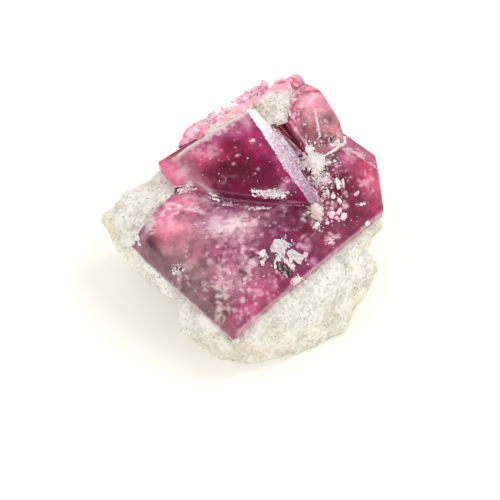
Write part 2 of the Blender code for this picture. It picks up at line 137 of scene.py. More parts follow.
def layered_noise(points: np.ndarray, layers: Iterable[Pair], seed: float) -> np.ndarray:
    """Sum of smooth noise layers, each with a cell size and a height in millimetres."""
    total = np.zeros(len(points))
    for index, (size, height) in enumerate(layers):
        total += height * smooth_noise(points, size, seed + LAYER_STEP * index)
    return total


def smooth_step(values: np.ndarray, low: float, high: float) -> np.ndarray:
    """0 below low, 1 above high, and a smooth cubic between."""
    share = np.clip((values - low) / (high - low), 0.0, 1.0)
    return share * share * (3.0 - 2.0 * share)


@dataclass(frozen=True)
class Bearing:
    """The frame of a crystal, turned about Z and then leaning to the front."""

    corner: Triple
    turn: float
    lean: float

    @property
    def origin(self) -> np.ndarray:
        """The frame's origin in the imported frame."""
        return np.array(self.corner) + DRAWING_SHIFT

    @property
    def axes(self) -> np.ndarray:
        """Rotation whose columns are the crystal's x, y and z."""
        turn, lean = math.radians(self.turn), math.radians(self.lean)
        spin = np.array([[math.cos(turn), -math.sin(turn), 0.0],
                         [math.sin(turn), math.cos(turn), 0.0], [0.0, 0.0, 1.0]])
        tip = np.array([[1.0, 0.0, 0.0], [0.0, math.cos(lean), -math.sin(lean)],
                        [0.0, math.sin(lean), math.cos(lean)]])
        return tip @ spin

    def outwards(self, local: np.ndarray) -> np.ndarray:
        """Places in the crystal's frame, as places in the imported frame."""
        return local @ self.axes.T + self.origin

    def inwards(self, points: np.ndarray) -> np.ndarray:
        """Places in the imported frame, as places in the crystal's frame."""
        return (points - self.origin) @ self.axes


LOWER = Bearing((-1.75, -10.0, 5.0), 41.5, 16.0)
UPPER = Bearing((-0.3, 12.2, 13.9), 33.0, 24.0)


@dataclass(frozen=True)
class Side:
    """A crystal face through one side of an outline, turned down from the top by dip degrees."""

    start: Pair
    end: Pair
    dip: float
    top: float = 0.0

    def plane(self) -> tuple[np.ndarray, float]:
        """Outward normal and its distance from the crystal frame's origin."""
        along = np.subtract(self.end, self.start)
        outward = np.array([along[1], -along[0]]) / np.hypot(*along)
        angle = math.radians(self.dip)
        normal = np.array([*(outward * math.sin(angle)), math.cos(angle)])
        return normal, float(normal @ np.array([*self.start, self.top]))


@dataclass(frozen=True)
class Block:
    """A convex crystal block: an outline run anticlockwise, the dip of each side and its depth."""

    outline: Sequence[Pair]
    dips: Sequence[float]
    top: float
    depth: float
    bevels: Sequence[Side] = ()
    reach: Optional[float] = None

    def planes(self, bearing: Bearing) -> tuple[np.ndarray, np.ndarray]:
        """Normals and distances of all faces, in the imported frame."""
        ends = list(self.outline[1:]) + [self.outline[0]]
        sides = [Side(a, b, dip, self.top) for a, b, dip in zip(self.outline, ends, self.dips)]
        found = [side.plane() for side in [*sides, *self.bevels]]
        found.append((np.array([0.0, 0.0, 1.0]), self.top))
        found.append((np.array([0.0, 0.0, -1.0]), self.depth - self.top))
        if self.reach is not None:
            found.append((np.array([1.0, 0.0, 0.0]), self.reach))
        normals = np.array([normal for normal, _ in found]) @ bearing.axes.T
        return normals, np.array([far for _, far in found]) + normals @ bearing.origin


@dataclass(frozen=True)
class Hollow:
    """An egg-shaped pit, chip or shell-like break in a crystal's frame."""

    centre: Triple
    radii: Triple

    def level(self, points: np.ndarray, bearing: Bearing) -> tuple[np.ndarray, np.ndarray]:
        """Distance into the hollow, which is positive inside it, and its slope."""
        local = (bearing.inwards(points) - np.array(self.centre)) / np.array(self.radii)
        length = np.maximum(np.linalg.norm(local, axis=1), TINY)
        slope = (local / np.array(self.radii) / length[:, None]) @ bearing.axes.T
        steep = np.linalg.norm(slope, axis=1)
        return (1.0 - length) / steep, -slope / steep[:, None]


@dataclass
class Form:
    """A crystal's shape: blocks joined, less hollows, with softly rounded edges."""

    blocks: Sequence[tuple[Block, Bearing]]
    hollows: Sequence[tuple[Hollow, Bearing]] = ()
    rounding: float = 0.03
    wear: float = 0.03
    # Where edges are worn: the width of such a stretch, and the noise it starts and is full at.
    worn_mm: float = 1.1
    worn_from: Pair = (0.1, 0.8)

    def level(self, points: np.ndarray) -> tuple[np.ndarray, np.ndarray]:
        """How far each place lies outside the form, and the way out.

        A block's level is the soft maximum of its face distances, r times the log of the
        sum of exp(distance / r). The form's level is the least of its blocks' levels, and
        a hollow takes over where it is deeper. Noise widens r where an edge is worn.

        Args:
            points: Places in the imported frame.

        Returns:
            The level in millimetres, and the unit slope.
        """
        worn = smooth_step(smooth_noise(points, self.worn_mm, 5.0), *self.worn_from)
        radius = (self.rounding + self.wear * worn)[:, None]
        best = np.full(len(points), np.inf)
        slope = np.zeros_like(points)
        for block, bearing in self.blocks:
            normals, far = block.planes(bearing)
            apart = points @ normals.T - far
            peak = apart.max(axis=1, keepdims=True)
            shares = np.exp((apart - peak) / radius)
            level = (peak + radius * np.log(shares.sum(axis=1, keepdims=True)))[:, 0]
            facing = shares @ normals
            nearer = level < best
            best = np.where(nearer, level, best)
            slope[nearer] = facing[nearer]
        for hollow, bearing in self.hollows:
            level, facing = hollow.level(points, bearing)
            deeper = level > best
            best = np.where(deeper, level, best)
            slope[deeper] = facing[deeper]
        return best, slope / np.linalg.norm(slope, axis=1, keepdims=True)

    def settle(self, points: np.ndarray, rounds: int = 5) -> tuple[np.ndarray, np.ndarray]:
        """Slide places along the slope until they lie on the form, and give the slope there."""
        for _ in range(rounds):
            level, slope = self.level(points)
            points = points - level[:, None] * slope
        return points, self.level(points)[1]


LOWER_OUTLINE = [(1.3, 0.35), (20.55, 0.3), (24.2, 5.4), (23.6, 9.1), (21.5, 14.6),
                 (8.0, 15.6), (4.1, 15.6), (0.75, 14.8), (0.3, 12.6)]
# The prism face along the left side drops this far, and then turns under.
BAND_DROP = 1.65
BAND_RUN = BAND_DROP / math.tan(math.radians(PRISM_ANGLE))
LOWER_BLOCK = Block(
    LOWER_OUTLINE, [UPRIGHT, 92, UPRIGHT, UPRIGHT, 100, UPRIGHT, 84, 66, PRISM_ANGLE], 0.0, 3.4,
    [Side((0.3 - BAND_RUN, 12.6), (1.3 - BAND_RUN, 0.35), 2 * PRISM_ANGLE, -BAND_DROP),
     Side((22.9, 5.3), (22.3, 9.0), 20)])
SLAB_BLOCK = Block(
    [(-9.3, -1.6), (-7.2, -6.5), (-0.9, -11.1), (0.0, -11.9), (0.0, 0.0), (-9.0, 0.0)],
    [95, 98, 80, 45, 84, 80], 0.0, 4.2, [Side((-7.15, 0.0), (-7.6, -3.6), 28)], 1.3)
TIP_BLOCK = Block([(-10.4, -2.4), (-6.0, -4.6), (-6.0, 0.5), (-10.4, 0.5)],
                  [84, UPRIGHT, UPRIGHT, UPRIGHT], -0.8, 2.6)
# How far right each growth step beside the stripe reaches, and its height.
STEP_REACHES = [(1.9, -1.5), (2.5, -1.95), (3.1, -2.4)]
STEP_BLOCKS = [Block([(-1.0, -8.4), (reach, -7.8), (reach, -1.4), (-1.0, -1.4)],
                     [80, 78, 80, UPRIGHT], top, 2.6) for reach, top in STEP_REACHES]
REAR_BLOCKS = [
    Block([(-8.3, 0.4), (-1.5, 0.4), (-1.5, 2.1), (-3.85, 2.15), (-5.4, 2.6)],
          [84, UPRIGHT, 104, 104, 98], -1.6, 4.2),
    Block([(-3.6, 0.5), (-0.9, 0.5), (-0.9, 2.0), (-1.7, 2.1), (-2.8, 2.4), (-3.6, 2.1)],
          [84, UPRIGHT, 104, 104, 104, UPRIGHT], -1.45, 4.4),
    Block([(-1.3, 0.5), (3.4, 0.5), (3.4, 1.9), (1.7, 2.1), (-1.3, 2.0)],
          [84, UPRIGHT, 106, 106, UPRIGHT], -1.35, 4.6),
    Block([(2.6, -0.5), (6.8, -0.5), (6.75, 0.8), (6.3, 1.6), (5.8, 1.65), (4.4, 1.3),
           (2.6, 1.8)], [84, UPRIGHT, 94, 104, 104, 104, UPRIGHT], -1.15, 4.8)]
BROKEN_BLOCK = Block(
    [(3.1, -6.9), (4.0, -8.0), (6.5, -7.9), (7.3, -5.8), (7.35, -2.4), (6.6, -0.95),
     (4.6, -0.95), (3.1, -3.0)], [84, 80, 88, UPRIGHT, UPRIGHT, 86, 84, 80], 0.25, 4.6,
    [Side((4.9, -2.2), (4.0, -7.2), 38, 0.25)])


def skin_of(node: str, voxel: float) -> tuple[np.ndarray, np.ndarray]:
    """An even skin of small quads over a CAD node, from a merged copy of its mesh.

    Args:
        node: Name of the CAD node.
        voxel: Width of the skin's faces in millimetres.

    Returns:
        The skin's points in millimetres, and its quads.
    """
    shape = bmesh.new()
    shape.from_mesh(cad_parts[node].data)
    bmesh.ops.remove_doubles(shape, verts=shape.verts, dist=MERGE_GAP)
    mesh = bpy.data.meshes.new(f"{node}_merged")
    shape.to_mesh(mesh)
    shape.free()
    carrier = bpy.data.objects.new(f"{node}_carrier", mesh)
    bpy.context.scene.collection.objects.link(carrier)
    skin = carrier.modifiers.new("even_faces", "REMESH")
    skin.mode = "VOXEL"
    skin.voxel_size = voxel * MM
    graph = bpy.context.evaluated_depsgraph_get()
    finished = bpy.data.meshes.new_from_object(carrier.evaluated_get(graph))
    points = np.empty(len(finished.vertices) * 3, np.float32)
    finished.vertices.foreach_get("co", points)
    quads = np.empty(len(finished.loops), np.int32)
    finished.loops.foreach_get("vertex_index", quads)
    bpy.data.objects.remove(carrier)
    bpy.data.meshes.remove(finished)
    return points.reshape(-1, 3).astype(float) / MM, quads.reshape(-1, 4)


def skin_normals(points: np.ndarray, quads: np.ndarray) -> np.ndarray:
    """Unit normals of a quad skin: the cross products of the quads' diagonals, summed."""
    diagonals = np.cross(points[quads[:, 2]] - points[quads[:, 0]],
                         points[quads[:, 3]] - points[quads[:, 1]])
    normals = np.zeros_like(points)
    for corner in range(4):
        np.add.at(normals, quads[:, corner], diagonals)
    return normals / np.maximum(np.linalg.norm(normals, axis=1, keepdims=True), TINY)


def make_piece(name: str, points: np.ndarray, faces: np.ndarray,
               smooth: bool = True) -> bpy.types.Object:
    """Write an array of points and faces as a piece that rides on the specimen.

    Args:
        name: The piece's name.
        points: Points in millimetres.
        faces: Corner numbers, one face a row.
        smooth: Whether the faces are shaded smooth.

    Returns:
        The new object, at the origin.
    """
    mesh = bpy.data.meshes.new(name)
    sides = faces.shape[1]
    mesh.vertices.add(len(points))
    mesh.vertices.foreach_set("co", (points * MM).astype(np.float32).ravel())
    mesh.loops.add(faces.size)
    mesh.loops.foreach_set("vertex_index", faces.astype(np.int32).ravel())
    mesh.polygons.add(len(faces))
    mesh.polygons.foreach_set("loop_start", np.arange(0, faces.size, sides, dtype=np.int32))
    mesh.polygons.foreach_set("use_smooth", np.full(len(faces), smooth))
    mesh.update(calc_edges=True)
    mesh.validate()
    made = bpy.data.objects.new(name, mesh)
    bpy.context.scene.collection.objects.link(made)
    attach(made, "root")
    LOG.info("%s: %d points, %d faces", name, len(points), len(faces))
    return made


def keep_values(made: bpy.types.Object, name: str, values: np.ndarray) -> None:
    """Keep a number or a linear colour for each point of a piece, for its material to read."""
    kind, part = ("FLOAT", "value") if values.ndim == 1 else ("FLOAT_COLOR", "color")
    if values.ndim > 1:
        values = np.column_stack([values, np.ones(len(values))])
    store = made.data.attributes.new(name, kind, "POINT")
    store.data.foreach_set(part, values.astype(np.float32).ravel())


def add_node(tree: bpy.types.NodeTree, kind: str, inputs: Optional[dict] = None,
             **settings: object) -> bpy.types.Node:
    """Add a node with its settings, its plain input values and its links.

    Args:
        tree: The material's or world's node tree.
        kind: Blender's name for the shader node.
        inputs: Input sockets by name or number; a socket as the value is linked.
        settings: Attributes of the node.

    Returns:
        The new node.
    """
    made = tree.nodes.new(f"ShaderNode{kind}")
    for name, value in settings.items():
        setattr(made, name, value)
    for name, value in (inputs or {}).items():
        if isinstance(value, bpy.types.NodeSocket):
            tree.links.new(value, made.inputs[name])
        else:
            made.inputs[name].default_value = value
    return made


class Finish:
    """What every finish shares: one shader on the surface, and a filling where light goes in."""

    name: str

    def surface(self, tree: bpy.types.NodeTree) -> dict:
        """Add the finish's own nodes, and give the shader's inputs."""
        raise NotImplementedError

    def filling(self, tree: bpy.types.NodeTree) -> dict:
        """The output's inputs besides the surface: none where no light goes in."""
        return {}

    def make(self) -> bpy.types.Material:
        """Build the material."""
        made = bpy.data.materials.new(self.name)
        made.use_nodes = True
        tree = made.node_tree
        tree.nodes.clear()
        shader = add_node(tree, "BsdfPrincipled", self.surface(tree))
        add_node(tree, "OutputMaterial", {"Surface": shader.outputs["BSDF"], **self.filling(tree)})
        return made


def wear_finishes(made: bpy.types.Object, finishes: Sequence[Finish], numbers: np.ndarray) -> None:
    """Give a piece its finishes, and each face the one of its number."""
    for finish in finishes:
        made.data.materials.append(finish.make())
    made.data.polygons.foreach_set("material_index", numbers.astype(np.int32))


@dataclass(frozen=True)
class Beryl(Finish):
    """Red beryl, grown from hot gas: clear, hard and glassy, and deep red through its bulk.

    The eye sees into it. Manganese takes green out of the light first and blue next, so thin
    parts look pink and thick ones plum. Absorption is plain, set for light that has gone
    through a few millimetres, and the tint attribute shades cloudier or browner parts. On the
    main crystal the tint also holds painted light: highlights along edges, a shadow under the
    slab, a greyish-brown reflection and a glow of light through the thin tip.
    Growth ripples, too low to see but for the light, stir its gloss.
    """

    name: str = "glassy_red_beryl"
    absorbed: Triple = (0.99, 0.60, 0.78)
    per_metre: float = 800.0
    clearness: float = 0.65
    roughness: float = 0.07
    index: float = BERYL_INDEX
    ripple: float = 0.12
    ripples_per_mm: float = 1.4
    ripple_height: float = 0.05

    def surface(self, tree: bpy.types.NodeTree) -> dict:
        """Tinted glass with growth ripples."""
        tint = add_node(tree, "Attribute", attribute_name="tint")
        place = add_node(tree, "TexCoord").outputs["Object"]
        ripples = add_node(tree, "TexNoise",
                           {"Vector": place, "Scale": self.ripples_per_mm / MM, "Detail": 3.0})
        bump = add_node(tree, "Bump",
                        {"Height": ripples.outputs["Fac"], "Strength": self.ripple,
                         "Distance": self.ripple_height * MM})
        return {"Base Color": tint.outputs["Color"], "Roughness": self.roughness,
                "IOR": self.index, "Transmission Weight": self.clearness,
                "Normal": bump.outputs["Normal"]}

    def filling(self, tree: bpy.types.NodeTree) -> dict:
        """Plain absorption through the crystal's bulk."""
        bulk = add_node(tree, "VolumeAbsorption",
                        {"Color": (*self.absorbed, 1.0), "Density": self.per_metre})
        return {"Volume": bulk.outputs["Volume"]}


# Where healed cracks and fluid have clouded the crystal, less light goes in and more comes back.
HAZES = [Beryl("hazy_beryl", clearness=0.46, roughness=0.10),
         Beryl("cloudy_beryl", clearness=0.28, roughness=0.16),
         Beryl("milky_beryl", clearness=0.10, roughness=0.30)]
# How milky a face is where each haze begins.
HAZE_STEPS = [0.24, 0.42, 0.60]


@dataclass(frozen=True)
class FrostAndSheenBeryl(Finish):
    """Beryl etched dull by fluid on one growth face: a bloom full of tiny pits.

    Near the top it is milky white, further down speckled lilac, and at the foot the plum
    crystal shows through; this fade is partly the etched bloom's own pale colour and partly a
    painted reflection of the light. The share down the face runs from 0 to 1 between the two
    places of fade, which a cloudy noise makes uneven.
    """

    name: str = "frosted_beryl_face_with_painted_sheen"
    # Painted reflection mixed with the etched bloom's own colour: near white at the top of the
    # face, lilac and plum further down.
    light: str = "FFF8FC"
    middle: str = "D2B2C4"
    foot: str = "7A5464"
    pit: str = "8A6A82"
    middle_at: float = 0.62
    fade: Pair = (-1.5, -13.0)
    uneven: float = 4.0
    clouds_per_mm: float = 0.9
    pit_mm: float = 0.24
    pit_least: float = 0.22
    pit_rim: Pair = (0.57, 0.43)
    pit_depth: float = 0.05
    roughness: float = 0.42

    def surface(self, tree: bpy.types.NodeTree) -> dict:
        """A pale bloom and a painted reflection that fade down the face, with pits that show the
        more they fade.
        """
        place = add_node(tree, "TexCoord").outputs["Object"]
        down = add_node(tree, "VectorMath",
                        {0: place, 1: tuple(UPPER.axes[:, 1])}, operation="DOT_PRODUCT")
        middle = float(UPPER.origin @ UPPER.axes[:, 1]) - self.uneven / 2
        cloud = add_node(tree, "TexNoise",
                         {"Vector": place, "Scale": self.clouds_per_mm / MM, "Detail": 4.0})
        ragged = add_node(tree, "Math",
                          {0: cloud.outputs["Fac"], 1: -self.uneven * MM, 2: down.outputs["Value"]},
                          operation="MULTIPLY_ADD")
        share = add_node(tree, "MapRange",
                         {"Value": ragged.outputs[0], "From Min": (self.fade[0] + middle) * MM,
                          "From Max": (self.fade[1] + middle) * MM})
        ramp = add_node(tree, "ValToRGB", {"Fac": share.outputs[0]})
        ramp.color_ramp.elements[0].color = linear(self.light)
        ramp.color_ramp.elements[1].color = linear(self.foot)
        ramp.color_ramp.elements.new(self.middle_at).color = linear(self.middle)
        pits = add_node(tree, "TexNoise",
                        {"Vector": place, "Scale": 1.0 / (self.pit_mm * MM), "Detail": 2.0})
        dots = add_node(tree, "MapRange",
                        {"Value": pits.outputs["Fac"], "From Min": self.pit_rim[0],
                         "From Max": self.pit_rim[1]})
        depth = add_node(tree, "Math",
                         {0: share.outputs[0], 1: self.pit_least}, operation="ADD", use_clamp=True)
        deeper = add_node(tree, "Math",
                          {0: dots.outputs[0], 1: depth.outputs[0]},
                          operation="MULTIPLY", use_clamp=True)
        colour = add_node(tree, "Mix",
                          {0: deeper.outputs[0], 6: ramp.outputs["Color"], 7: linear(self.pit)},
                          data_type="RGBA")
        bump = add_node(tree, "Bump",
                        {"Height": pits.outputs["Fac"], "Strength": 0.5,
                         "Distance": self.pit_depth * MM})
        return {"Base Color": colour.outputs[2], "Roughness": self.roughness,
                "IOR": BERYL_INDEX, "Normal": bump.outputs["Normal"]}


class Tint(Enum):
    """Colours of what lies in or on the crystals."""

    WHITE = "FAF6F6"
    CREAM = "F8E8DC"
    BLUSH = "FBE2E8"
    PINK = "F4BCD0"
    LILAC = "E8D2E4"
    SALMON = "F4A8A4"
    GREY = "DCD0D0"
    DARK = "5A4448"


WHITE, CREAM, BLUSH, PINK, LILAC, SALMON, GREY, DARK = Tint


@dataclass(frozen=True)
class Flakes(Finish):
    """Flakes, healed cracks and veils shut in a crystal: pale solids with dull faces.

    Each tint has a material of its own, since flakes grew of different minerals, and a
    noise a flake wide makes some duller than others.
    """

    tint: Tint
    kind: str = "flakes"
    patches_per_mm: float = 3.0
    dull_to_full: Pair = (0.0, 1.0)
    dullest: float = 0.82
    roughness: float = 0.6

    @property
    def name(self) -> str:
        """The tint and the kind in one name."""
        return f"{self.tint.name.lower()}_{self.kind}"

    def surface(self, tree: bpy.types.NodeTree) -> dict:
        """One tint, duller in patches."""
        place = add_node(tree, "TexCoord").outputs["Object"]
        mottle = add_node(tree, "TexNoise",
                          {"Vector": place, "Scale": self.patches_per_mm / MM, "Detail": 2.0})
        share = add_node(tree, "MapRange",
                         {"Value": mottle.outputs["Fac"], "From Min": self.dull_to_full[0],
                          "From Max": self.dull_to_full[1]})
        full = linear(self.tint.value)
        dull = (*(part * self.dullest for part in full[:3]), 1.0)
        colour = add_node(tree, "Mix", {0: share.outputs[0], 6: dull, 7: full}, data_type="RGBA")
        return {"Base Color": colour.outputs[2], "Roughness": self.roughness}


@dataclass(frozen=True)
class DullGrain(Flakes):
    """Grains of quartz and feldspar on a crystal's face: chalky, pitted and a little grey."""

    kind: str = "grains"
    patches_per_mm: float = 4.0
    dull_to_full: Pair = (0.35, 0.6)
    dullest: float = 0.7
    roughness: float = 0.65


@dataclass(frozen=True)
class Rhyolite(Finish):
    """White rhyolite, a frozen lava of fine grains: chalky, with grey and dark specks.

    Grains of feldspar and quartz about 0.3 mm wide give a mottled white, a few dark ones
    pepper it, and the stain attribute blends in the stain colour, cream on the main rock.
    """

    name: str = "white_rhyolite"
    white: str = "EAE8DF"
    grey: str = "BFBAAF"
    dark: str = "6E645C"
    stain: str = "E2D2AC"
    grain_mm: float = 0.30
    speck_mm: float = 0.38
    cloud_mm: float = 2.0
    relief_mm: float = 0.2
    grain_contrast: float = 0.45
    white_to_grey: Pair = (0.60, 1.0)
    speck_rim: Pair = (0.24, 0.14)
    speck_chosen: Pair = (0.5, 0.8)
    roughness: float = 0.9

    def surface(self, tree: bpy.types.NodeTree) -> dict:
        """Mottled white, peppered with specks, stained and granular."""
        place = add_node(tree, "TexCoord").outputs["Object"]
        grains = add_node(tree, "TexVoronoi",
                          {"Vector": place, "Scale": 1.0 / (self.grain_mm * MM)})
        cloud = add_node(tree, "TexNoise",
                         {"Vector": place, "Scale": 1.0 / (self.cloud_mm * MM), "Detail": 4.0})
        greyness = add_node(tree, "Math",
                            {0: grains.outputs["Color"], 1: self.grain_contrast,
                             2: cloud.outputs["Fac"]}, operation="MULTIPLY_ADD")
        share = add_node(tree, "MapRange",
                         {"Value": greyness.outputs[0], "From Min": self.white_to_grey[0],
                          "From Max": self.white_to_grey[1]})
        specks = add_node(tree, "TexVoronoi",
                          {"Vector": place, "Scale": 1.0 / (self.speck_mm * MM)})
        dots = add_node(tree, "MapRange",
                        {"Value": specks.outputs["Distance"], "From Min": self.speck_rim[0],
                         "From Max": self.speck_rim[1]})
        few = add_node(tree, "MapRange",
                       {"Value": specks.outputs["Color"], "From Min": self.speck_chosen[0],
                        "From Max": self.speck_chosen[1]})
        kept = add_node(tree, "Math", {0: dots.outputs[0], 1: few.outputs[0]}, operation="MULTIPLY")
        stain = add_node(tree, "Attribute", attribute_name="stain")
        patchy = add_node(tree, "Math",
                          {0: stain.outputs["Fac"], 1: cloud.outputs["Fac"]}, operation="MULTIPLY")
        colour = linear(self.white)
        for over, code in ((share, self.grey), (kept, self.dark), (patchy, self.stain)):
            colour = add_node(tree, "Mix",
                              {0: over.outputs[0], 6: colour, 7: linear(code)},
                              data_type="RGBA").outputs[2]
        fine = add_node(tree, "TexNoise",
                        {"Vector": place, "Scale": 1.0 / (self.relief_mm * MM), "Detail": 3.0})
        bump = add_node(tree, "Bump",
                        {"Height": fine.outputs["Fac"], "Strength": 0.8,
                         "Distance": self.relief_mm * MM})
        return {"Base Color": colour, "Roughness": self.roughness,
                "Normal": bump.outputs["Normal"]}


@dataclass(frozen=True)
class PaleSheet(Finish):
    """Painted board under the specimen: near white and dull."""

    name: str = "pale_board"
    colour: str = "FAF8F1"
    roughness: float = 0.7

    def surface(self, tree: bpy.types.NodeTree) -> dict:
        """One even colour."""
        return {"Base Color": linear(self.colour), "Roughness": self.roughness}


def turned(x: np.ndarray, y: np.ndarray, turn: float) -> tuple[np.ndarray, np.ndarray]:
    """Turn x and y anticlockwise by an angle in degrees."""
    angle = math.radians(turn)
    return (x * math.cos(angle) - y * math.sin(angle), x * math.sin(angle) + y * math.cos(angle))


def near_top(local: np.ndarray) -> np.ndarray:
    """Share from 1 at a crystal's top faces to 0 deep down its sides, by a bell curve."""
    return np.exp(-(np.maximum(-local[:, 2] - TOP_DEPTH, 0.0) / TOP_FADE) ** 2)


@dataclass(frozen=True)
class Patch:
    """A soft oval on a crystal's top face: place, reach along its own two ways, and turn."""

    x: float
    y: float
    reach_x: float
    reach_y: float
    turn: float

    def offsets(self, local: np.ndarray) -> tuple[np.ndarray, np.ndarray]:
        """Places measured from the middle along the patch's two ways, in shares of its reach."""
        across, along = turned(local[:, 0] - self.x, local[:, 1] - self.y, -self.turn)
        return across / self.reach_x, along / self.reach_y

    def strewn(self, count: int, chance: np.random.Generator) -> tuple[np.ndarray, np.ndarray]:
        """Random x and y in the patch, thickest in its middle."""
        draw = chance.normal(0.0, 0.5, (count, 2))
        x, y = turned(draw[:, 0] * self.reach_x, draw[:, 1] * self.reach_y, self.turn)
        return x + self.x, y + self.y


@dataclass(frozen=True)
class Zone(Patch):
    """A stretch of crystal with a shade of its own, a strength and a haze."""

    colour: str
    strength: float = 1.0
    cloudy: float = 0.0

    def share(self, local: np.ndarray) -> np.ndarray:
        """How much of the zone's shade a place has, falling off softly to an uneven rim."""
        apart = np.hypot(*self.offsets(local)) + layered_noise(local, ZONE_RIM, 11.0 + self.x)
        fall = ZONE_FALL * np.maximum(apart, 0.0) ** ZONE_POWER
        return self.strength * near_top(local) * np.exp(-fall)


@dataclass(frozen=True)
class Line:
    """A thin uneven line along a crystal's edge or step, some a painted highlight or shadow: its
    ends, width, colour and strength.
    """

    start: Pair
    end: Pair
    width: float
    colour: str
    strength: float = 0.8

    def share(self, local: np.ndarray) -> np.ndarray:
        """How much of the line's colour a place has: a bell curve of how far off it lies."""
        along = np.subtract(self.end, self.start)
        offset = local[:, :2] - np.array(self.start)
        part = np.clip(offset @ along / (along @ along), 0.0, 1.0)
        apart = np.linalg.norm(offset - part[:, None] * along, axis=1)
        broken = np.clip(0.95 + 0.5 * smooth_noise(local, 0.5, 17.0), 0.0, 1.0)
        return self.strength * near_top(local) * broken * np.exp(-(apart / self.width) ** 2)


@dataclass(frozen=True)
class Swarm(Patch):
    """Many small bodies of one tint in a patch: how many, and how wide each one is."""

    count: int
    size: float
    tint: Tint

    @property
    def colour(self) -> str:
        """Hex colour of the milkiness that they give."""
        return self.tint.value


@dataclass(frozen=True)
class Cloud(Swarm):
    """A cloud of flakes in a crystal, from a shallow depth to a deep one.

    A tuft is the width of a thick part of the cloud, thin is the noise that flakes begin at,
    milk is how milky they make the skin, and stretch draws them out along the turn.
    """

    shallow: float = 0.08
    deep: float = 0.8
    tuft: float = 0.5
    thin: float = 0.0
    milk: float = 0.5
    stretch: float = 1.0

    def tufts(self, local: np.ndarray) -> np.ndarray:
        """Smooth noise that breaks the cloud up, at places in the crystal's frame."""
        across, along = turned(local[:, 0], local[:, 1], -self.turn)
        cells = np.stack([across / self.stretch, along, 0.4 * local[:, 2]], -1)
        return smooth_noise(cells, self.tuft, 3.0 + self.x) + 0.45 * smooth_noise(
            cells, 0.4 * self.tuft, 4.0 + self.x)

    def share(self, local: np.ndarray) -> np.ndarray:
        """How milky the cloud makes the crystal's skin over it, from 0 to 1."""
        across, along = self.offsets(local)
        fall = np.exp(-CLOUD_FALL * (across ** 2 + along ** 2))
        broken = smooth_step(self.tufts(local), self.thin - 0.4, self.thin + 0.6)
        return self.milk * near_top(local) * fall * broken


@dataclass(frozen=True)
class Spots(Swarm):
    """Round pale grains just under a crystal's skin, whose size is their radius.

    The skin over each is painted milky, and a body of the same tint lies under it, so that
    the spot has soft rims from above and stays where it is from the side.
    """

    strength: float = 0.85

    def places(self) -> np.ndarray:
        """Place, radius and strength of each spot in the crystal's frame, one row each."""
        chance = np.random.default_rng(int(997 + 100 * self.x + 31 * self.y))
        x, y = self.strewn(self.count, chance)
        radius = self.size * np.exp(chance.normal(0.0, SIZE_SPREAD, self.count))
        strength = self.strength * chance.uniform(0.35, 1.0, self.count)
        apart = np.hypot(x[:, None] - x, y[:, None] - y)
        crowded = np.tril(apart < 1.5 * self.size, -1).any(axis=1)
        return np.stack([x, y, radius, strength], -1)[~crowded]

    def share(self, local: np.ndarray) -> np.ndarray:
        """How milky the spots make the skin, from 0 to 1: where spots overlap, they add up."""
        far = 2.0 * max(self.reach_x, self.reach_y) + 3.0 * self.size
        close = np.hypot(local[:, 0] - self.x, local[:, 1] - self.y) < far
        near = local[close]
        warp = 0.4 * smooth_noise(near, 0.22, 3.3) + 0.25 * smooth_noise(near, 0.5, 3.9)
        left = np.ones(len(near))
        for x, y, radius, strength in self.places():
            apart = np.hypot(near[:, 0] - x, near[:, 1] - y) / radius + warp
            left *= 1.0 - strength * np.exp(-np.maximum(apart, 0.0) ** 4)
        total = np.zeros(len(local))
        total[close] = 1.0 - left
        return total * near_top(local)


Mark = Zone | Line | Cloud | Spots


def kinds(marks: Sequence[Mark], kind: type | tuple[type, ...]) -> list[Mark]:
    """The marks of one kind or of a few."""
    return [mark for mark in marks if isinstance(mark, kind)]


def shade(points: np.ndarray, bearing: Bearing, base: str, marks: Sequence[Mark],
          seed: float) -> tuple[np.ndarray, np.ndarray]:
    """Linear colours of places on a crystal: a marbled base, with each mark blended over it.

    Args:
        points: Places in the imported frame.
        bearing: The frame that the marks are given in.
        base: Hex colour where no mark reaches.
        marks: Zones, lines, clouds and spots, later ones over earlier ones.
        seed: Number that picks the marbling.

    Returns:
        One linear colour for each place, and how milky the crystal is there, from 0 to 1.
    """
    local = bearing.inwards(points)
    colours = np.tile(np.array(linear(base)[:3]), (len(points), 1))
    clear = np.ones(len(points))
    for zone in kinds(marks, Zone):
        share = zone.share(local)
        colours += share[:, None] * (np.array(linear(zone.colour)[:3]) - colours)
        clear *= 1.0 - zone.cloudy * share
    marble = layered_noise(points, MARBLE, seed)
    colours *= np.exp(marble)[:, None]
    clear = np.clip(clear - MARBLE_HAZE * marble, 0.0, 1.0)
    for mark in kinds(marks, (Line, Cloud, Spots)):
        share = mark.share(local)
        colours += share[:, None] * (np.array(linear(mark.colour)[:3]) - colours)
        clear *= 1.0 - share
    return np.clip(colours, 0.0, 1.0), 1.0 - clear


def haze_of(milky: np.ndarray, quads: np.ndarray) -> np.ndarray:
    """Number of each face's haze by its corners' milkiness: 0 where clear, 3 where milky."""
    return np.digitize(milky[quads].mean(axis=1), HAZE_STEPS)


def evened(colours: np.ndarray, milky: np.ndarray, clearness: float) -> np.ndarray:
    """Colours scaled so that brightness rises smoothly with milkiness across the hazes.

    A face sends back its colour times the gloss part plus the colour part of what isn't
    clear, so each place's colour is divided by that, and multiplied by the share that its
    milkiness asks for.
    """
    steps = np.array([clearness] + [haze.clearness for haze in HAZES])
    sent = COLOUR_PART * (1.0 - steps[np.digitize(milky, HAZE_STEPS)]) + GLOSS_PART
    wanted = (COLOUR_PART * (1.0 - clearness) + GLOSS_PART) * (1.0 + MILK_GAIN * milky)
    return np.clip(colours * (wanted / sent)[:, None], 0.0, 1.0)


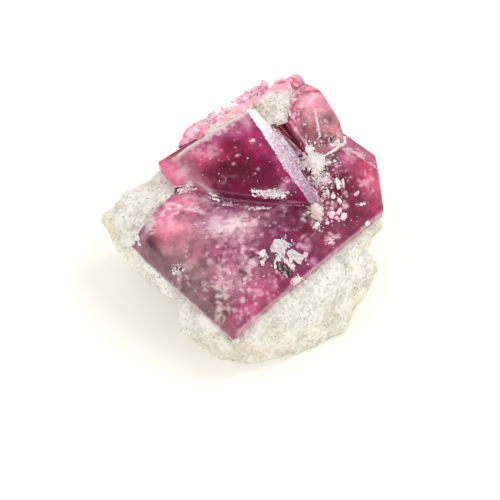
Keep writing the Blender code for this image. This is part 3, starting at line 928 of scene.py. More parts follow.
def random_turns(count: int, chance: np.random.Generator) -> np.ndarray:
    """Rotation matrices that point every way evenly, from random unit quaternions."""
    quaternions = chance.normal(size=(4, count))
    w, x, y, z = quaternions / np.linalg.norm(quaternions, axis=0)
    rows = [[1 - 2 * (y * y + z * z), 2 * (x * y - z * w), 2 * (x * z + y * w)],
            [2 * (x * y + z * w), 1 - 2 * (x * x + z * z), 2 * (y * z - x * w)],
            [2 * (x * z - y * w), 2 * (y * z + x * w), 1 - 2 * (x * x + y * y)]]
    return np.array(rows).transpose(2, 0, 1)


def flat_turns(bearing: Bearing, turn: float, spread: float, count: int,
               chance: np.random.Generator) -> np.ndarray:
    """Rotation matrices that lay things on a crystal's top face, near one direction."""
    angle = np.radians(turn + spread * chance.normal(size=count))
    zero, one = np.zeros(count), np.ones(count)
    spin = np.array([[np.cos(angle), -np.sin(angle), zero],
                     [np.sin(angle), np.cos(angle), zero], [zero, zero, one]])
    return bearing.axes @ spin.transpose(2, 0, 1)


def pebble(rings: int, sides: int) -> tuple[np.ndarray, np.ndarray]:
    """A unit ball: points by latitude and longitude, and triangles with both poles closed.

    Args:
        rings: Circles between the poles.
        sides: Points in each circle.

    Returns:
        The ball's points and triangles.
    """
    high = np.pi * (np.arange(rings) + 1) / (rings + 1)
    around = 2 * np.pi * np.arange(sides) / sides
    up, turn = np.meshgrid(high, around, indexing="ij")
    belt = np.stack([np.sin(up) * np.cos(turn), np.sin(up) * np.sin(turn), np.cos(up)], -1)
    points = np.concatenate([[[0, 0, 1.0]], belt.reshape(-1, 3), [[0, 0, -1.0]]])
    here = 1 + np.arange(rings * sides).reshape(rings, sides)
    beside = np.roll(here, -1, axis=1)
    last = rings * sides + 1
    cap = np.stack([np.zeros(sides, int), here[0], beside[0]], -1)
    foot = np.stack([np.full(sides, last), beside[-1], here[-1]], -1)
    one = np.stack([here[:-1], here[1:], beside[1:]], -1).reshape(-1, 3)
    two = np.stack([here[:-1], beside[1:], beside[:-1]], -1).reshape(-1, 3)
    return points, np.concatenate([cap, one, two, foot])


def uneven_sizes(size: float, spread: float, count: int,
                 chance: np.random.Generator) -> tuple[np.ndarray, np.ndarray]:
    """Sizes about one size, each times exp of random noise, and half sizes of uneven solids.

    Args:
        size: The middle size in millimetres.
        spread: Standard deviation of the noise.
        count: How many.
        chance: Source of random numbers.

    Returns:
        One size a row, and three half sizes a row, each a share of half the row's size.
    """
    sizes = size * np.exp(chance.normal(0.0, spread, (count, 1)))
    return sizes, sizes * chance.uniform(LEAST_SIDE, 1.0, (count, 3)) / 2


# Small balls of few faces, by rings and sides: a flake has eight sides.
FLAKE_BALL, SPOT_BALL, GRIT_BALL, GRAIN_BALL = (pebble(1, 4), pebble(3, 6), pebble(2, 5),
                                                pebble(5, 9))


def scatter(base: tuple[np.ndarray, np.ndarray], centres: np.ndarray, turns: np.ndarray,
            radii: np.ndarray, uneven: float, square: float,
            chance: np.random.Generator) -> tuple[np.ndarray, np.ndarray]:
    """Copies of a small ball, each stretched, squared off, made uneven, turned and placed.

    Squaring takes each coordinate c to sign(c) |c|^square, so a power below 1 gives a block.

    Args:
        base: The ball's points and triangles.
        centres: Place of each copy.
        turns: Rotation matrix of each copy.
        radii: Half sizes of each copy.
        uneven: Share by which each corner moves in or out.
        square: Power below 1 for a block, 1 for a ball.
        chance: Source of random numbers.

    Returns:
        All points and all triangles.
    """
    unit, triangles = base
    shaped = np.sign(unit) * np.abs(unit) ** square
    swell = 1.0 + uneven * chance.uniform(-1.0, 1.0, (len(centres), len(unit), 1))
    local = shaped[None] * radii[:, None, :] * swell
    points = np.einsum("nij,nkj->nki", turns, local) + centres[:, None, :]
    faces = triangles[None] + (np.arange(len(centres)) * len(unit))[:, None, None]
    return points.reshape(-1, 3), faces.reshape(-1, 3)


@dataclass
class Bits:
    """Many small solids of a few tints, to be joined in one piece."""

    points: list[np.ndarray] = field(default_factory=list)
    faces: list[np.ndarray] = field(default_factory=list)
    tints: list[np.ndarray] = field(default_factory=list)

    def add(self, points: np.ndarray, faces: np.ndarray, tint: Tint) -> None:
        """Keep one more lot of solids of one tint."""
        self.faces.append(faces + sum(len(part) for part in self.points))
        self.points.append(points)
        self.tints.append(np.full(len(faces), list(Tint).index(tint)))

    def add_flakes(self, clouds: Sequence[Cloud], bearing: Bearing, form: Form,
                   seed: int) -> None:
        """Add the flakes of every cloud that lie inside a crystal.

        Places are drawn from a soft oval and kept where smooth noise is high, so a cloud
        breaks up into tufts. A flake is an eight-sided solid with uneven corners.

        Args:
            clouds: The crystal's clouds.
            bearing: The frame that the clouds are given in.
            form: The crystal's shape.
            seed: Number that picks the places.
        """
        chance = np.random.default_rng(seed)
        for cloud in clouds:
            x, y = cloud.strewn(4 * cloud.count, chance)
            drop = cloud.shallow + (cloud.deep - cloud.shallow) * chance.random(len(x)) ** 1.5
            local = np.stack([x, y, -drop], -1)
            local = local[cloud.tufts(local) > cloud.thin][:cloud.count]
            centres = bearing.outwards(local)
            centres = centres[form.level(centres)[0] < -FLAKE_INSIDE]
            radii = uneven_sizes(cloud.size, SIZE_SPREAD, len(centres), chance)[1]
            turns = random_turns(len(centres), chance)
            if cloud.stretch > 1.0:
                radii = radii * [cloud.stretch, 1.0, 0.6]
                turns = flat_turns(bearing, cloud.turn, 12.0, len(centres), chance)
            self.add(*scatter(FLAKE_BALL, centres, turns, radii, 0.3, 1.0, chance), cloud.tint)

    def add_spots(self, groups: Sequence[Spots], bearing: Bearing, form: Form, seed: int) -> None:
        """Add a flat, rounded body under the skin for each spot of each group."""
        chance = np.random.default_rng(seed)
        for group in groups:
            x, y, radius, _ = group.places().T
            centres = bearing.outwards(np.stack([x, y, -0.06 - 0.45 * radius], -1))
            inside = form.level(centres)[0] < -SPOT_INSIDE
            swell = chance.uniform(0.6, 1.2, (inside.sum(), 3))
            radii = radius[inside, None] * [0.7, 0.7, 0.3] * swell
            turns = flat_turns(bearing, 0.0, 90.0, len(radii), chance)
            self.add(*scatter(SPOT_BALL, centres[inside], turns, radii, 0.25, 1.0, chance),
                     group.tint)

    def join(self, name: str, slot: str, finish: type[Flakes],
             smooth: bool = False) -> bpy.types.Object:
        """Join every lot in one piece, with one material for each tint in use."""
        made = make_piece(name, np.concatenate(self.points), np.concatenate(self.faces),
                          smooth)
        used, numbers = np.unique(np.concatenate(self.tints), return_inverse=True)
        wear_finishes(made, [finish(list(Tint)[number]) for number in used], numbers)
        return made


@dataclass(frozen=True)
class Grain:
    """One pale grain on the lower crystal: place, half sizes, turn, tint and half height."""

    x: float
    y: float
    half_x: float
    half_y: float
    turn: float
    tint: Tint
    half_z: float = 0.24


@dataclass(frozen=True)
class Grit(Patch):
    """Small grains strewn on a face in a patch: how many, how wide, tints, lift and height."""

    count: int
    size: float
    tints: Sequence[Tint]
    lift: float = 0.0
    z: float = 0.0


# The lower crystal's marks: shades first, then lines, veils and grains under its skin. A row
# gives a class's fields in their order, so a zone, cloud, spots or grit starts with x, y, the
# two reaches and the turn.
LOWER_MARKS = [
    Zone(18.5, 4.1, 4.4, 5.0, 0, "8A264A"),
    Zone(15.2, 1.8, 3.4, 2.4, 0, "B45078", 1.0, 0.1),
    Zone(12.0, 6.4, 3.8, 2.8, -30, "A43068"),
    Zone(8.0, 5.6, 2.9, 2.4, 0, "B2507E"),
    # Painted shade: a darker band on the lower crystal just below the slab.
    Zone(9.4, 11.6, 5.4, 1.2, -45, "98246A"),
    Zone(4.3, 3.8, 3.2, 3.2, 0, "C27090", 1.0, 0.25),
    # Painted reflection: the greyish brown-mauve veil over the lower-left of the top face and down
    # its left band stands for a hazy reflection of the room.
    Zone(1.6, 8.6, 2.4, 5.2, 3, "BC8E90", 1.0, 0.5),
    Zone(1.5, 5.4, 1.3, 3.6, 3, "90606A", 0.9),
    Zone(0.5, 6.2, 0.8, 5.6, 2, "845A62", 0.9),
    Zone(-0.4, 6.5, 0.7, 7.0, 3, "90646C"),
    Zone(1.6, 1.5, 1.6, 1.3, 0, "C05C80", 1.0, 0.4),
    Zone(6.2, 1.6, 3.4, 1.4, 0, "D05484", 1.0, 0.3),
    Zone(2.9, 12.4, 2.3, 1.5, -30, "DC7C8A", 0.9, 0.5),
    Zone(4.3, 10.6, 1.7, 1.6, -30, "CC8490", 0.9, 0.55),
    Zone(5.2, 14.3, 3.7, 1.9, -12, "E8789C", 1.0, 0.85),
    Zone(3.6, 13.0, 1.6, 1.1, -30, "E08C9E", 0.9, 0.75),
    Zone(0.6, 12.8, 0.7, 1.0, 0, "6E3C50"),
    Zone(1.7, 14.6, 1.3, 0.5, 25, "F4DCE0", 1.0, 0.9),
    Zone(7.6, 9.3, 3.4, 1.9, -35, "DA98B0", 0.9, 0.55),
    Zone(9.6, 3.2, 1.2, 2.0, 0, "8A4464", 0.8),
    Zone(13.2, 3.9, 1.6, 1.3, 0, "8E2850", 0.9),
    Zone(21.9, 7.2, 1.6, 2.2, 20, "D8709C", 1.0, 0.55),
    Zone(20.6, 1.0, 1.6, 1.2, 0, "C83C6C", 1.0, 0.3),
    Zone(22.0, 2.2, 1.7, 1.8, 0, "E07090", 1.0, 0.55),
    Zone(6.9, 3.3, 1.1, 1.1, 0, "CC6C90", 1.0, 0.45),
    Zone(22.6, 3.2, 1.7, 2.6, 35, "D85078", 1.0, 0.5),
    # Painted highlight: a pale line along the lower-left rim.
    Line((-0.70, 12.2), (0.32, 0.2), 0.17, "F8DEE0", 1.0),
    Line((0.3, 13.0), (1.3, 0.35), 0.10, "905A66", 0.5),
    # Painted highlight: a pale line along the lower-right edge.
    Line((1.0, 0.18), (20.5, 0.15), 0.24, "F0C4CC", 0.9),
    # Painted shadow: a dark plum line along the slab's foot, where the slab shades the lower
    # crystal.
    Line((8.7, 12.5), (14.8, 6.6), 0.26, "50082A", 0.8),
    Cloud(8.6, 9.2, 3.1, 1.1, -35, 1500, 0.11, BLUSH, 0.02, 0.4, 0.35, 0.0, 0.95, 2.6),
    Cloud(8.5, 8.7, 1.9, 0.7, -30, 900, 0.11, CREAM, 0.01, 0.2, 0.35, -0.1, 0.95, 2.4),
    Cloud(6.9, 9.5, 2.3, 1.5, -35, 700, 0.11, BLUSH, 0.03, 0.4, 0.3, 0.05, 0.75, 2.0),
    Cloud(7.2, 10.3, 1.7, 1.0, -38, 600, 0.12, LILAC, 0.03, 0.4, 0.4, 0.0, 0.75, 2.0),
    Cloud(9.9, 10.3, 2.8, 0.16, -47, 420, 0.11, WHITE, 0.01, 0.12, 0.2, -0.1, 1.0, 3.0),
    Cloud(8.4, 12.4, 2.2, 0.32, -50, 420, 0.11, LILAC, 0.02, 0.2, 0.22, 0.0, 0.95, 3.0),
    Cloud(6.6, 12.6, 1.8, 0.9, -40, 420, 0.11, BLUSH, 0.02, 0.3, 0.25, 0.1, 0.8, 2.6),
    Cloud(5.0, 14.3, 3.0, 1.3, -28, 620, 0.11, BLUSH, 0.02, 0.3, 0.2, 0.1, 0.95, 3.0),
    Cloud(4.2, 6.2, 2.9, 2.2, 0, 900, 0.13, BLUSH, 0.03, 0.6, 0.4, 0.2, 0.45),
    Cloud(1.6, 3.8, 1.6, 0.35, 48, 300, 0.13, CREAM, 0.02, 0.3, 0.35, 0.1, 0.4),
    Cloud(5.9, 1.4, 2.3, 1.2, -41, 500, 0.13, PINK, 0.03, 0.6, 0.4, 0.3, 0.35),
    Cloud(2.8, 0.9, 1.7, 1.0, -41, 400, 0.13, PINK, 0.03, 0.6, 0.4, 0.2, 0.5),
    Cloud(1.8, 14.0, 0.8, 0.35, 20, 260, 0.11, BLUSH, 0.01, 0.2, 0.25, 0.0, 0.95),
    Cloud(4.8, 14.6, 1.9, 0.35, -30, 300, 0.11, BLUSH, 0.01, 0.2, 0.25, 0.0, 0.95),
    Cloud(0.9, 7.9, 1.3, 1.6, 0, 300, 0.12, BLUSH, 0.04, 0.5, 0.35, 0.15, 0.45),
    Cloud(13.0, 7.1, 0.9, 0.5, 60, 260, 0.12, LILAC, 0.02, 0.2, 0.4, -0.2, 0.6),
    Cloud(21.4, 4.0, 1.8, 0.7, 48, 500, 0.11, PINK, 0.02, 0.3, 0.25, 0.1, 0.75, 2.5),
    Cloud(22.4, 7.4, 2.0, 0.8, -60, 480, 0.11, BLUSH, 0.02, 0.3, 0.3, 0.0, 0.8, 2.0),
    Cloud(20.4, 6.9, 1.1, 0.9, 0, 300, 0.11, PINK, 0.02, 0.3, 0.22, 0.2, 0.7),
    Cloud(18.1, 6.9, 1.3, 1.0, -41, 500, 0.12, WHITE, 0.01, 0.2, 0.3, -0.2, 1.0),
    Cloud(15.2, 4.8, 1.0, 1.2, 0, 400, 0.12, CREAM, 0.01, 0.2, 0.3, -0.2, 1.0),
    Cloud(11.0, 7.0, 11.0, 8.0, 0, 1800, 0.11, PINK, 0.1, 2.0, 0.5, 0.2, 0.3),
    Spots(4.2, 5.2, 2.2, 1.7, -40, 44, 0.23, PINK, 0.6),
    Spots(6.5, 4.6, 0.9, 1.2, 0, 16, 0.24, BLUSH, 0.75),
    Spots(3.6, 4.2, 2.8, 2.4, -40, 60, 0.15, BLUSH, 0.65),
    Spots(1.7, 3.7, 1.9, 0.6, 48, 16, 0.20, CREAM, 0.7),
    Spots(6.2, 1.7, 2.6, 1.1, -20, 44, 0.19, PINK, 0.75),
    Spots(2.6, 1.1, 1.5, 0.8, -41, 24, 0.17, PINK, 0.8),
    Spots(7.2, 6.6, 2.0, 1.5, 0, 34, 0.19, PINK, 0.85),
    Spots(5.6, 7.4, 2.0, 1.8, 0, 24, 0.15, PINK, 0.75),
    Spots(8.4, 8.6, 2.0, 0.8, -28, 30, 0.22, BLUSH, 0.8),
    Spots(10.6, 2.6, 1.5, 1.5, 0, 22, 0.20, PINK, 0.7),
    Spots(14.2, 4.2, 1.6, 1.1, 0, 16, 0.16, BLUSH, 0.9),
    Spots(17.6, 4.3, 1.3, 1.4, 0, 26, 0.15, BLUSH, 0.9),
    Spots(19.8, 4.4, 2.6, 2.6, 0, 30, 0.14, PINK, 0.8),
    Spots(14.3, 1.5, 0.8, 0.8, 0, 26, 0.14, BLUSH, 0.85),
    Spots(12.1, 3.4, 1.2, 1.2, 0, 12, 0.18, PINK, 0.5),
    Spots(0.8, 9.0, 1.1, 1.0, 0, 10, 0.24, PINK, 0.5),
    Spots(10.0, 8.0, 9.0, 6.0, 0, 110, 0.10, BLUSH, 0.85),
]
# The slab's marks, in the same order.
SLAB_MARKS = [
    Zone(-2.6, -3.0, 3.2, 1.8, -20, "CC1468"),
    Zone(-1.2, -2.7, 1.2, 2.4, 10, "DC4880", 0.9, 0.35),
    Zone(-0.8, -0.9, 0.7, 1.1, 0, "F0B8D0", 1.0, 0.8),
    Zone(-4.0, -5.2, 3.7, 1.7, -35, "8A0444"),
    Zone(-2.3, -1.4, 1.2, 0.8, -20, "DC70A0", 0.9, 0.4),
    Zone(-2.4, -7.6, 2.2, 1.3, -30, "B02468"),
    Zone(-7.0, -3.9, 1.6, 1.2, -30, "8C1050"),
    Zone(-0.5, -6.2, 0.6, 3.2, 0, "C83C7C", 1.0, 0.35),
    Zone(-1.0, -8.8, 0.8, 0.8, -30, "E878B4", 0.9),
    Zone(-6.2, -1.6, 2.6, 1.6, -20, "EA6492", 1.0, 0.5),
    Zone(-3.2, -0.5, 4.4, 0.8, 0, "E070A0", 1.0, 0.4),
    # Painted light: the bright hot pink of the thin left tip stands for light shining through it
    # from behind.
    Zone(-9.8, -1.5, 1.4, 2.6, 0, "FF80A4", 1.0, 1.0),
    Zone(-8.4, -2.6, 0.8, 1.9, 20, "D87890", 1.0, 0.5),
    Zone(-9.7, -3.4, 1.2, 0.45, -27, "F4DCE0", 1.0, 0.95),
    Zone(2.4, -4.6, 1.1, 4.8, 0, "C0184C", 1.0, 0.2),
    Line((-8.9, -0.14), (0.6, -0.14), 0.24, "F8E8E0", 1.0),
    # Painted glint: a white streak on the slab's lower-left edge.
    Line((-8.9, -3.2), (-7.25, -6.4), 0.32, "FFF0F6", 1.0),
    # Painted highlight: a thin pale pink line along the slab's lower edge.
    Line((-7.2, -6.4), (-0.9, -11.0), 0.09, "E890B8", 0.6),
    Line((1.45, -2.2), (2.9, -8.2), 0.07, "FFE0EA", 0.9),
    Line((2.2, -2.4), (3.1, -7.6), 0.06, "FFD0DC", 0.8),
    Cloud(-6.3, -1.4, 1.6, 1.0, -33, 900, 0.12, PINK, 0.02, 0.4, 0.18, 0.2, 0.55),
    Cloud(-3.6, -0.4, 3.8, 0.5, 0, 900, 0.11, BLUSH, 0.01, 0.2, 0.3, -0.1, 0.95),
    Cloud(-9.0, -1.6, 1.1, 1.6, 0, 500, 0.12, PINK, 0.02, 0.3, 0.4, -0.2, 0.8),
    Cloud(-1.2, -8.8, 0.9, 0.7, -33, 260, 0.11, PINK, 0.05, 0.4, 0.4, 0.0, 0.6),
    Cloud(-2.5, -8.7, 1.6, 0.5, -34, 400, 0.11, LILAC, 0.01, 0.15, 0.3, -0.3, 0.9),
    Cloud(-5.8, -5.0, 2.0, 0.7, -33, 200, 0.11, PINK, 0.1, 0.8, 0.35, 0.2, 0.4),
    Spots(-5.8, -1.5, 1.7, 1.0, -20, 36, 0.17, PINK, 0.7),
    Spots(-4.0, -4.6, 3.6, 2.6, -30, 14, 0.10, BLUSH, 0.9),
    Spots(-1.3, -3.0, 0.1, 0.1, 0, 2, 0.26, BLUSH, 1.0),
    Spots(-2.2, -2.4, 2.2, 1.4, 0, 14, 0.09, PINK, 0.8),
    Spots(-0.9, -8.3, 0.6, 0.5, 0, 10, 0.14, BLUSH, 0.7),
]
# Grains big enough to be set one by one, then grit by the group.
LOWER_GRAINS = [
    Grain(10.1, 4.2, 0.78, 0.74, 20, GREY), Grain(10.5, 2.55, 0.95, 0.46, 100, GREY),
    Grain(8.3, 4.9, 0.36, 0.30, 10, BLUSH), Grain(7.6, 4.1, 0.24, 0.22, 50, BLUSH),
    Grain(11.3, 1.9, 0.34, 0.22, 30, PINK),
    Grain(19.0, 5.45, 0.62, 0.20, 55, WHITE), Grain(19.35, 5.0, 0.36, 0.12, 55, WHITE),
    Grain(17.7, 4.7, 0.26, 0.18, 10, WHITE), Grain(17.85, 3.95, 0.32, 0.17, 70, WHITE),
    Grain(16.2, 3.4, 0.36, 0.25, 20, BLUSH), Grain(17.0, 2.45, 0.40, 0.28, 40, BLUSH),
    Grain(17.1, 3.1, 0.30, 0.2, 60, BLUSH), Grain(19.7, 3.4, 0.36, 0.18, 0, PINK),
    Grain(14.3, 3.5, 0.30, 0.2, 20, WHITE), Grain(18.3, 0.35, 0.28, 0.18, 0, BLUSH),
    Grain(17.2, 5.5, 0.22, 0.16, 0, GREY),
]
LOWER_GRIT = [
    Grit(1.0, 14.9, 1.3, 0.5, 15, 260, 0.26, (WHITE, BLUSH, WHITE), 0.0, -0.9),
    Grit(10.1, 4.2, 0.95, 0.85, 20, 60, 0.2, (LILAC, BLUSH), 0.1),
    Grit(10.55, 2.5, 1.1, 0.5, 100, 50, 0.17, (LILAC, BLUSH), 0.05),
    Grit(8.1, 4.6, 0.5, 0.4, 100, 30, 0.17, (WHITE, BLUSH), 0.05),
    Grit(15.2, 4.8, 0.8, 0.7, 90, 160, 0.2, (CREAM, BLUSH, GREY), 0.04),
    Grit(14.4, 3.5, 0.7, 0.6, 0, 30, 0.24, (BLUSH, PINK, GREY)),
    Grit(16.0, 3.1, 1.0, 0.9, 0, 30, 0.24, (BLUSH, SALMON, PINK)),
    Grit(17.2, 5.3, 1.0, 0.8, 0, 60, 0.20, (PINK, GREY, DARK, PINK)),
    Grit(18.1, 6.9, 1.1, 0.8, -41, 260, 0.18, (CREAM, BLUSH, GREY, LILAC)),
    Grit(19.2, 5.4, 0.8, 0.3, 55, 40, 0.16, (WHITE, BLUSH), 0.03),
    Grit(19.6, 6.4, 1.6, 1.2, 0, 20, 0.16, (PINK, BLUSH)),
    Grit(20.4, 7.2, 0.9, 0.8, 0, 50, 0.15, (PINK, LILAC)),
    Grit(19.2, 2.2, 0.5, 0.12, -20, 46, 0.13, (WHITE,)),
    Grit(14.2, 1.4, 0.55, 0.5, 0, 80, 0.13, (BLUSH, PINK)),
    Grit(17.0, 3.0, 2.6, 2.6, 0, 40, 0.14, (PINK, BLUSH)),
    Grit(11.3, 8.7, 1.1, 0.13, -42, 90, 0.12, (WHITE, BLUSH)),
    Grit(9.3, 11.2, 1.6, 0.5, -48, 60, 0.10, (WHITE, BLUSH)),
    Grit(8.8, 9.0, 2.4, 0.9, -28, 60, 0.10, (BLUSH, BLUSH)),
    Grit(5.0, 4.0, 3.5, 3.0, 0, 90, 0.09, (BLUSH, BLUSH)),
    Grit(0.95, 9.1, 0.42, 0.36, 0, 240, 0.15, (GREY, DARK, GREY, WHITE), 0.0, -0.45),
    Grit(1.0, 9.1, 0.65, 0.55, 0, 90, 0.12, (WHITE, BLUSH), 0.0, -0.1),
    Grit(8.8, 2.2, 0.4, 0.8, 0, 420, 0.18, (GREY, DARK, GREY, DARK), 0.0, -0.5),
    Grit(8.9, 3.3, 0.7, 0.3, 20, 120, 0.17, (WHITE, LILAC)),
    Grit(9.5, 2.1, 0.25, 0.9, 0, 150, 0.18, (WHITE, BLUSH)),
    Grit(8.8, 0.5, 0.6, 0.3, 0, 90, 0.2, (CREAM, BLUSH, PINK)),
    Grit(20.9, 8.8, 1.3, 0.25, -10, 260, 0.15, (WHITE, BLUSH)),
    Grit(22.4, 8.8, 1.3, 0.2, 5, 200, 0.15, (WHITE, BLUSH)),
    Grit(19.1, 8.8, 1.3, 0.8, -41, 480, 0.24, (WHITE, WHITE, BLUSH), 0.08),
    Grit(18.4, 8.0, 0.5, 0.5, -41, 160, 0.2, (WHITE, CREAM), 0.05),
]
SLAB_GRIT = [
    Grit(-2.7, -8.85, 1.5, 0.42, -34, 330, 0.19, (BLUSH, LILAC, GREY, WHITE)),
    Grit(-3.9, -7.7, 0.5, 0.15, -36, 50, 0.14, (WHITE, BLUSH)),
    Grit(-3.8, -4.6, 3.2, 2.6, 0, 16, 0.12, (WHITE, BLUSH)),
    Grit(-1.3, -3.0, 0.16, 0.16, 0, 10, 0.2, (BLUSH,)),
    Grit(-9.6, -3.2, 1.0, 0.4, -27, 150, 0.2, (WHITE, BLUSH, PINK), 0.0, -1.2),
    Grit(-9.8, -3.2, 1.0, 0.6, -27, 340, 0.26, (WHITE, BLUSH, CREAM), 0.0, -2.2),
    Grit(-7.7, -5.6, 0.6, 0.08, -56, 110, 0.16, (WHITE,), 0.0, -0.9),
    Grit(1.5, -3.3, 0.14, 0.9, 12, 90, 0.12, (WHITE, PINK), 0.0, -1.5),
    Grit(0.8, -5.0, 0.8, 3.6, 4, 200, 0.11, (WHITE, LILAC, LILAC), 0.0, -0.4),
    Grit(2.35, -5.2, 0.06, 2.4, 12, 190, 0.09, (WHITE, PINK), 0.0, -1.9),
    Grit(0.6, -11.2, 0.5, 1.2, -20, 140, 0.13, (BLUSH, LILAC, PINK), 0.0, -1.5),
]


@dataclass
class MainCrystal:
    """The wide lower crystal and the slab across its upper end, grown into each other."""

    voxel: float = 0.13
    relief: Sequence[Pair] = ((2.4, 0.030), (0.7, 0.012))
    hollows: Sequence[tuple[Hollow, Bearing]] = (
        (Hollow((1.0, 9.1, 0.25), (0.75, 0.65, 0.8)), LOWER),
        (Hollow((8.8, 2.2, 0.2), (0.65, 1.25, 0.95)), LOWER),
        (Hollow((7.9, 0.0, 0.4), (0.9, 0.7, 0.8)), LOWER),
        (Hollow((20.9, -0.1, 0.4), (1.0, 0.8, 0.8)), LOWER),
    )
    lower_base: str = "B44C80"
    slab_base: str = "AE0466"
    # How far outside the raised blocks a place still takes the slab's colours.
    slab_margin: float = 0.06
    lower_clear: Beryl = Beryl()
    slab_clear: Beryl = Beryl("deep_red_beryl", clearness=0.72)
    # The etched stripe with its painted reflection: how far right it reaches at each y, and how low
    # it lies.
    stripe_y: Sequence[float] = (-13.4, -12.4, -10.2, -8.8, -6.8, -4.9, -3.2, 0.0)
    stripe_right: Sequence[float] = (0.0, 0.9, 1.9, 2.4, 2.45, 1.95, 1.40, 1.25)
    stripe_low: float = -2.7
    stripe_bulge_y: float = -7.6
    form: Form = field(init=False)

    def __post_init__(self) -> None:
        """Join the blocks."""
        raised = [SLAB_BLOCK, TIP_BLOCK, *STEP_BLOCKS]
        self.form = Form([(LOWER_BLOCK, LOWER)] + [(block, UPPER) for block in raised],
                         self.hollows)

    def build(self) -> bpy.types.Object:
        """Settle a skin on the joined blocks and give it growth relief."""
        points, quads = skin_of("main_crystal", self.voxel)
        points, slope = self.form.settle(points)
        points = points + slope * layered_noise(points, self.relief, 21.0)[:, None]
        made = make_piece("main_crystal_glass", points, quads)
        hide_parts("main_crystal")
        self.dress(made, points, slope, quads)
        return made

    def dress(self, made: bpy.types.Object, points: np.ndarray, slope: np.ndarray,
              quads: np.ndarray) -> None:
        """Tint the crystal, and frost the bevel down the slab's right side, with a painted
        reflection on it.
        """
        lower, lower_milk = shade(points, LOWER, self.lower_base, LOWER_MARKS, 31.0)
        slab, slab_milk = shade(points, UPPER, self.slab_base, SLAB_MARKS, 32.0)
        on_slab = Form(self.form.blocks[1:]).level(points)[0] < self.slab_margin
        keep_values(made, "tint", np.where(
            on_slab[:, None], evened(slab, slab_milk, self.slab_clear.clearness),
            evened(lower, lower_milk, self.lower_clear.clearness)))
        finishes = [self.lower_clear, *HAZES, self.slab_clear, FrostAndSheenBeryl()]
        slab_number, frost_and_sheen_number = len(finishes) - 2, len(finishes) - 1
        haze = haze_of(np.where(on_slab, slab_milk, lower_milk), quads)
        numbers = np.where((haze == 0) & most_of(on_slab, quads), slab_number, haze)
        frost_and_sheen = self.frost_and_sheen(points, slope) & on_slab
        numbers = np.where(most_of(frost_and_sheen, quads), frost_and_sheen_number, numbers)
        wear_finishes(made, finishes, numbers)

    def frost_and_sheen(self, points: np.ndarray, slope: np.ndarray) -> np.ndarray:
        """Whether each point lies on the dull, etched stripe with its painted reflection, widest
        halfway down the crystal.
        """
        x, y, z = UPPER.inwards(points).T
        ragged = 0.16 * smooth_noise(points, 0.7, 8.0) + 0.1 * smooth_noise(points, 0.25, 8.5)
        bulge = 0.2 * np.exp(-((y - self.stripe_bulge_y) / 2.0) ** 2)
        left = 0.5 * (ragged - 0.15) - bulge
        right = np.interp(y, self.stripe_y, self.stripe_right) + ragged
        facing_up = (slope @ UPPER.axes)[:, 2] > 0.05
        return (x > left) & (x < right) & facing_up & (z > self.stripe_low)


def most_of(chosen: np.ndarray, quads: np.ndarray) -> np.ndarray:
    """Whether at least three corners of each quad are chosen."""
    return chosen[quads].sum(axis=1) > 2


@dataclass
class MainInclusions:
    """Clouds, veils, flakes and round grains shut in the main crystal."""

    form: Form

    def build(self) -> list[bpy.types.Object]:
        """Join the flakes in one piece and the round grains in another."""
        flakes, grains = Bits(), Bits()
        for index, (marks, bearing) in enumerate([(LOWER_MARKS, LOWER), (SLAB_MARKS, UPPER)]):
            flakes.add_flakes(kinds(marks, Cloud), bearing, self.form, 41 + index)
            grains.add_spots(kinds(marks, Spots), bearing, self.form, 43 + index)
        return [flakes.join("main_crystal_flakes", "main_crystal", Flakes),
                grains.join("main_crystal_grains", "main_crystal", Flakes, True)]


@dataclass
class SurfaceGrains:
    """Pale grains and grit standing on a crystal's faces and in its pits."""

    name: str
    slot: str
    form: Form
    lots: Sequence[tuple[Bearing, Sequence[Grit]]]
    grains: Sequence[Grain] = ()
    seed: int = 81

    def build(self) -> bpy.types.Object:
        """Set every grain on the crystal's skin and join them in one piece."""
        bits = Bits()
        chance = np.random.default_rng(self.seed)
        for grain in self.grains:
            self.set_grain(grain, bits, chance)
        for bearing, groups in self.lots:
            for group in groups:
                self.strew(group, bearing, bits, chance)
        return bits.join(self.name, self.slot, DullGrain)

    def set_grain(self, grain: Grain, bits: Bits, chance: np.random.Generator) -> None:
        """Set one squarish grain half deep in the lower crystal's top face."""
        radii = np.array([[grain.half_x, grain.half_y, grain.half_z]])
        centre = LOWER.outwards(np.array([[grain.x, grain.y, -0.02]]))
        turns = flat_turns(LOWER, grain.turn, 0.0, 1, chance)
        bits.add(*scatter(GRAIN_BALL, centre, turns, radii, 0.32, 0.55, chance), grain.tint)

    def strew(self, group: Grit, bearing: Bearing, bits: Bits,
              chance: np.random.Generator) -> None:
        """Strew a group's grains on the skin, each tint in turn."""
        count = group.count // len(group.tints)
        for tint in group.tints:
            x, y = group.strewn(count, chance)
            local = np.stack([x, y, np.full(count, group.z)], -1)
            centres, slope = self.form.settle(bearing.outwards(local))
            sizes, radii = uneven_sizes(group.size, GRIT_SPREAD, count, chance)
            centres = centres + slope * (group.lift + 0.05 * sizes)
            turns = random_turns(count, chance)
            bits.add(*scatter(GRIT_BALL, centres, turns, radii, 0.35, 0.75, chance), tint)


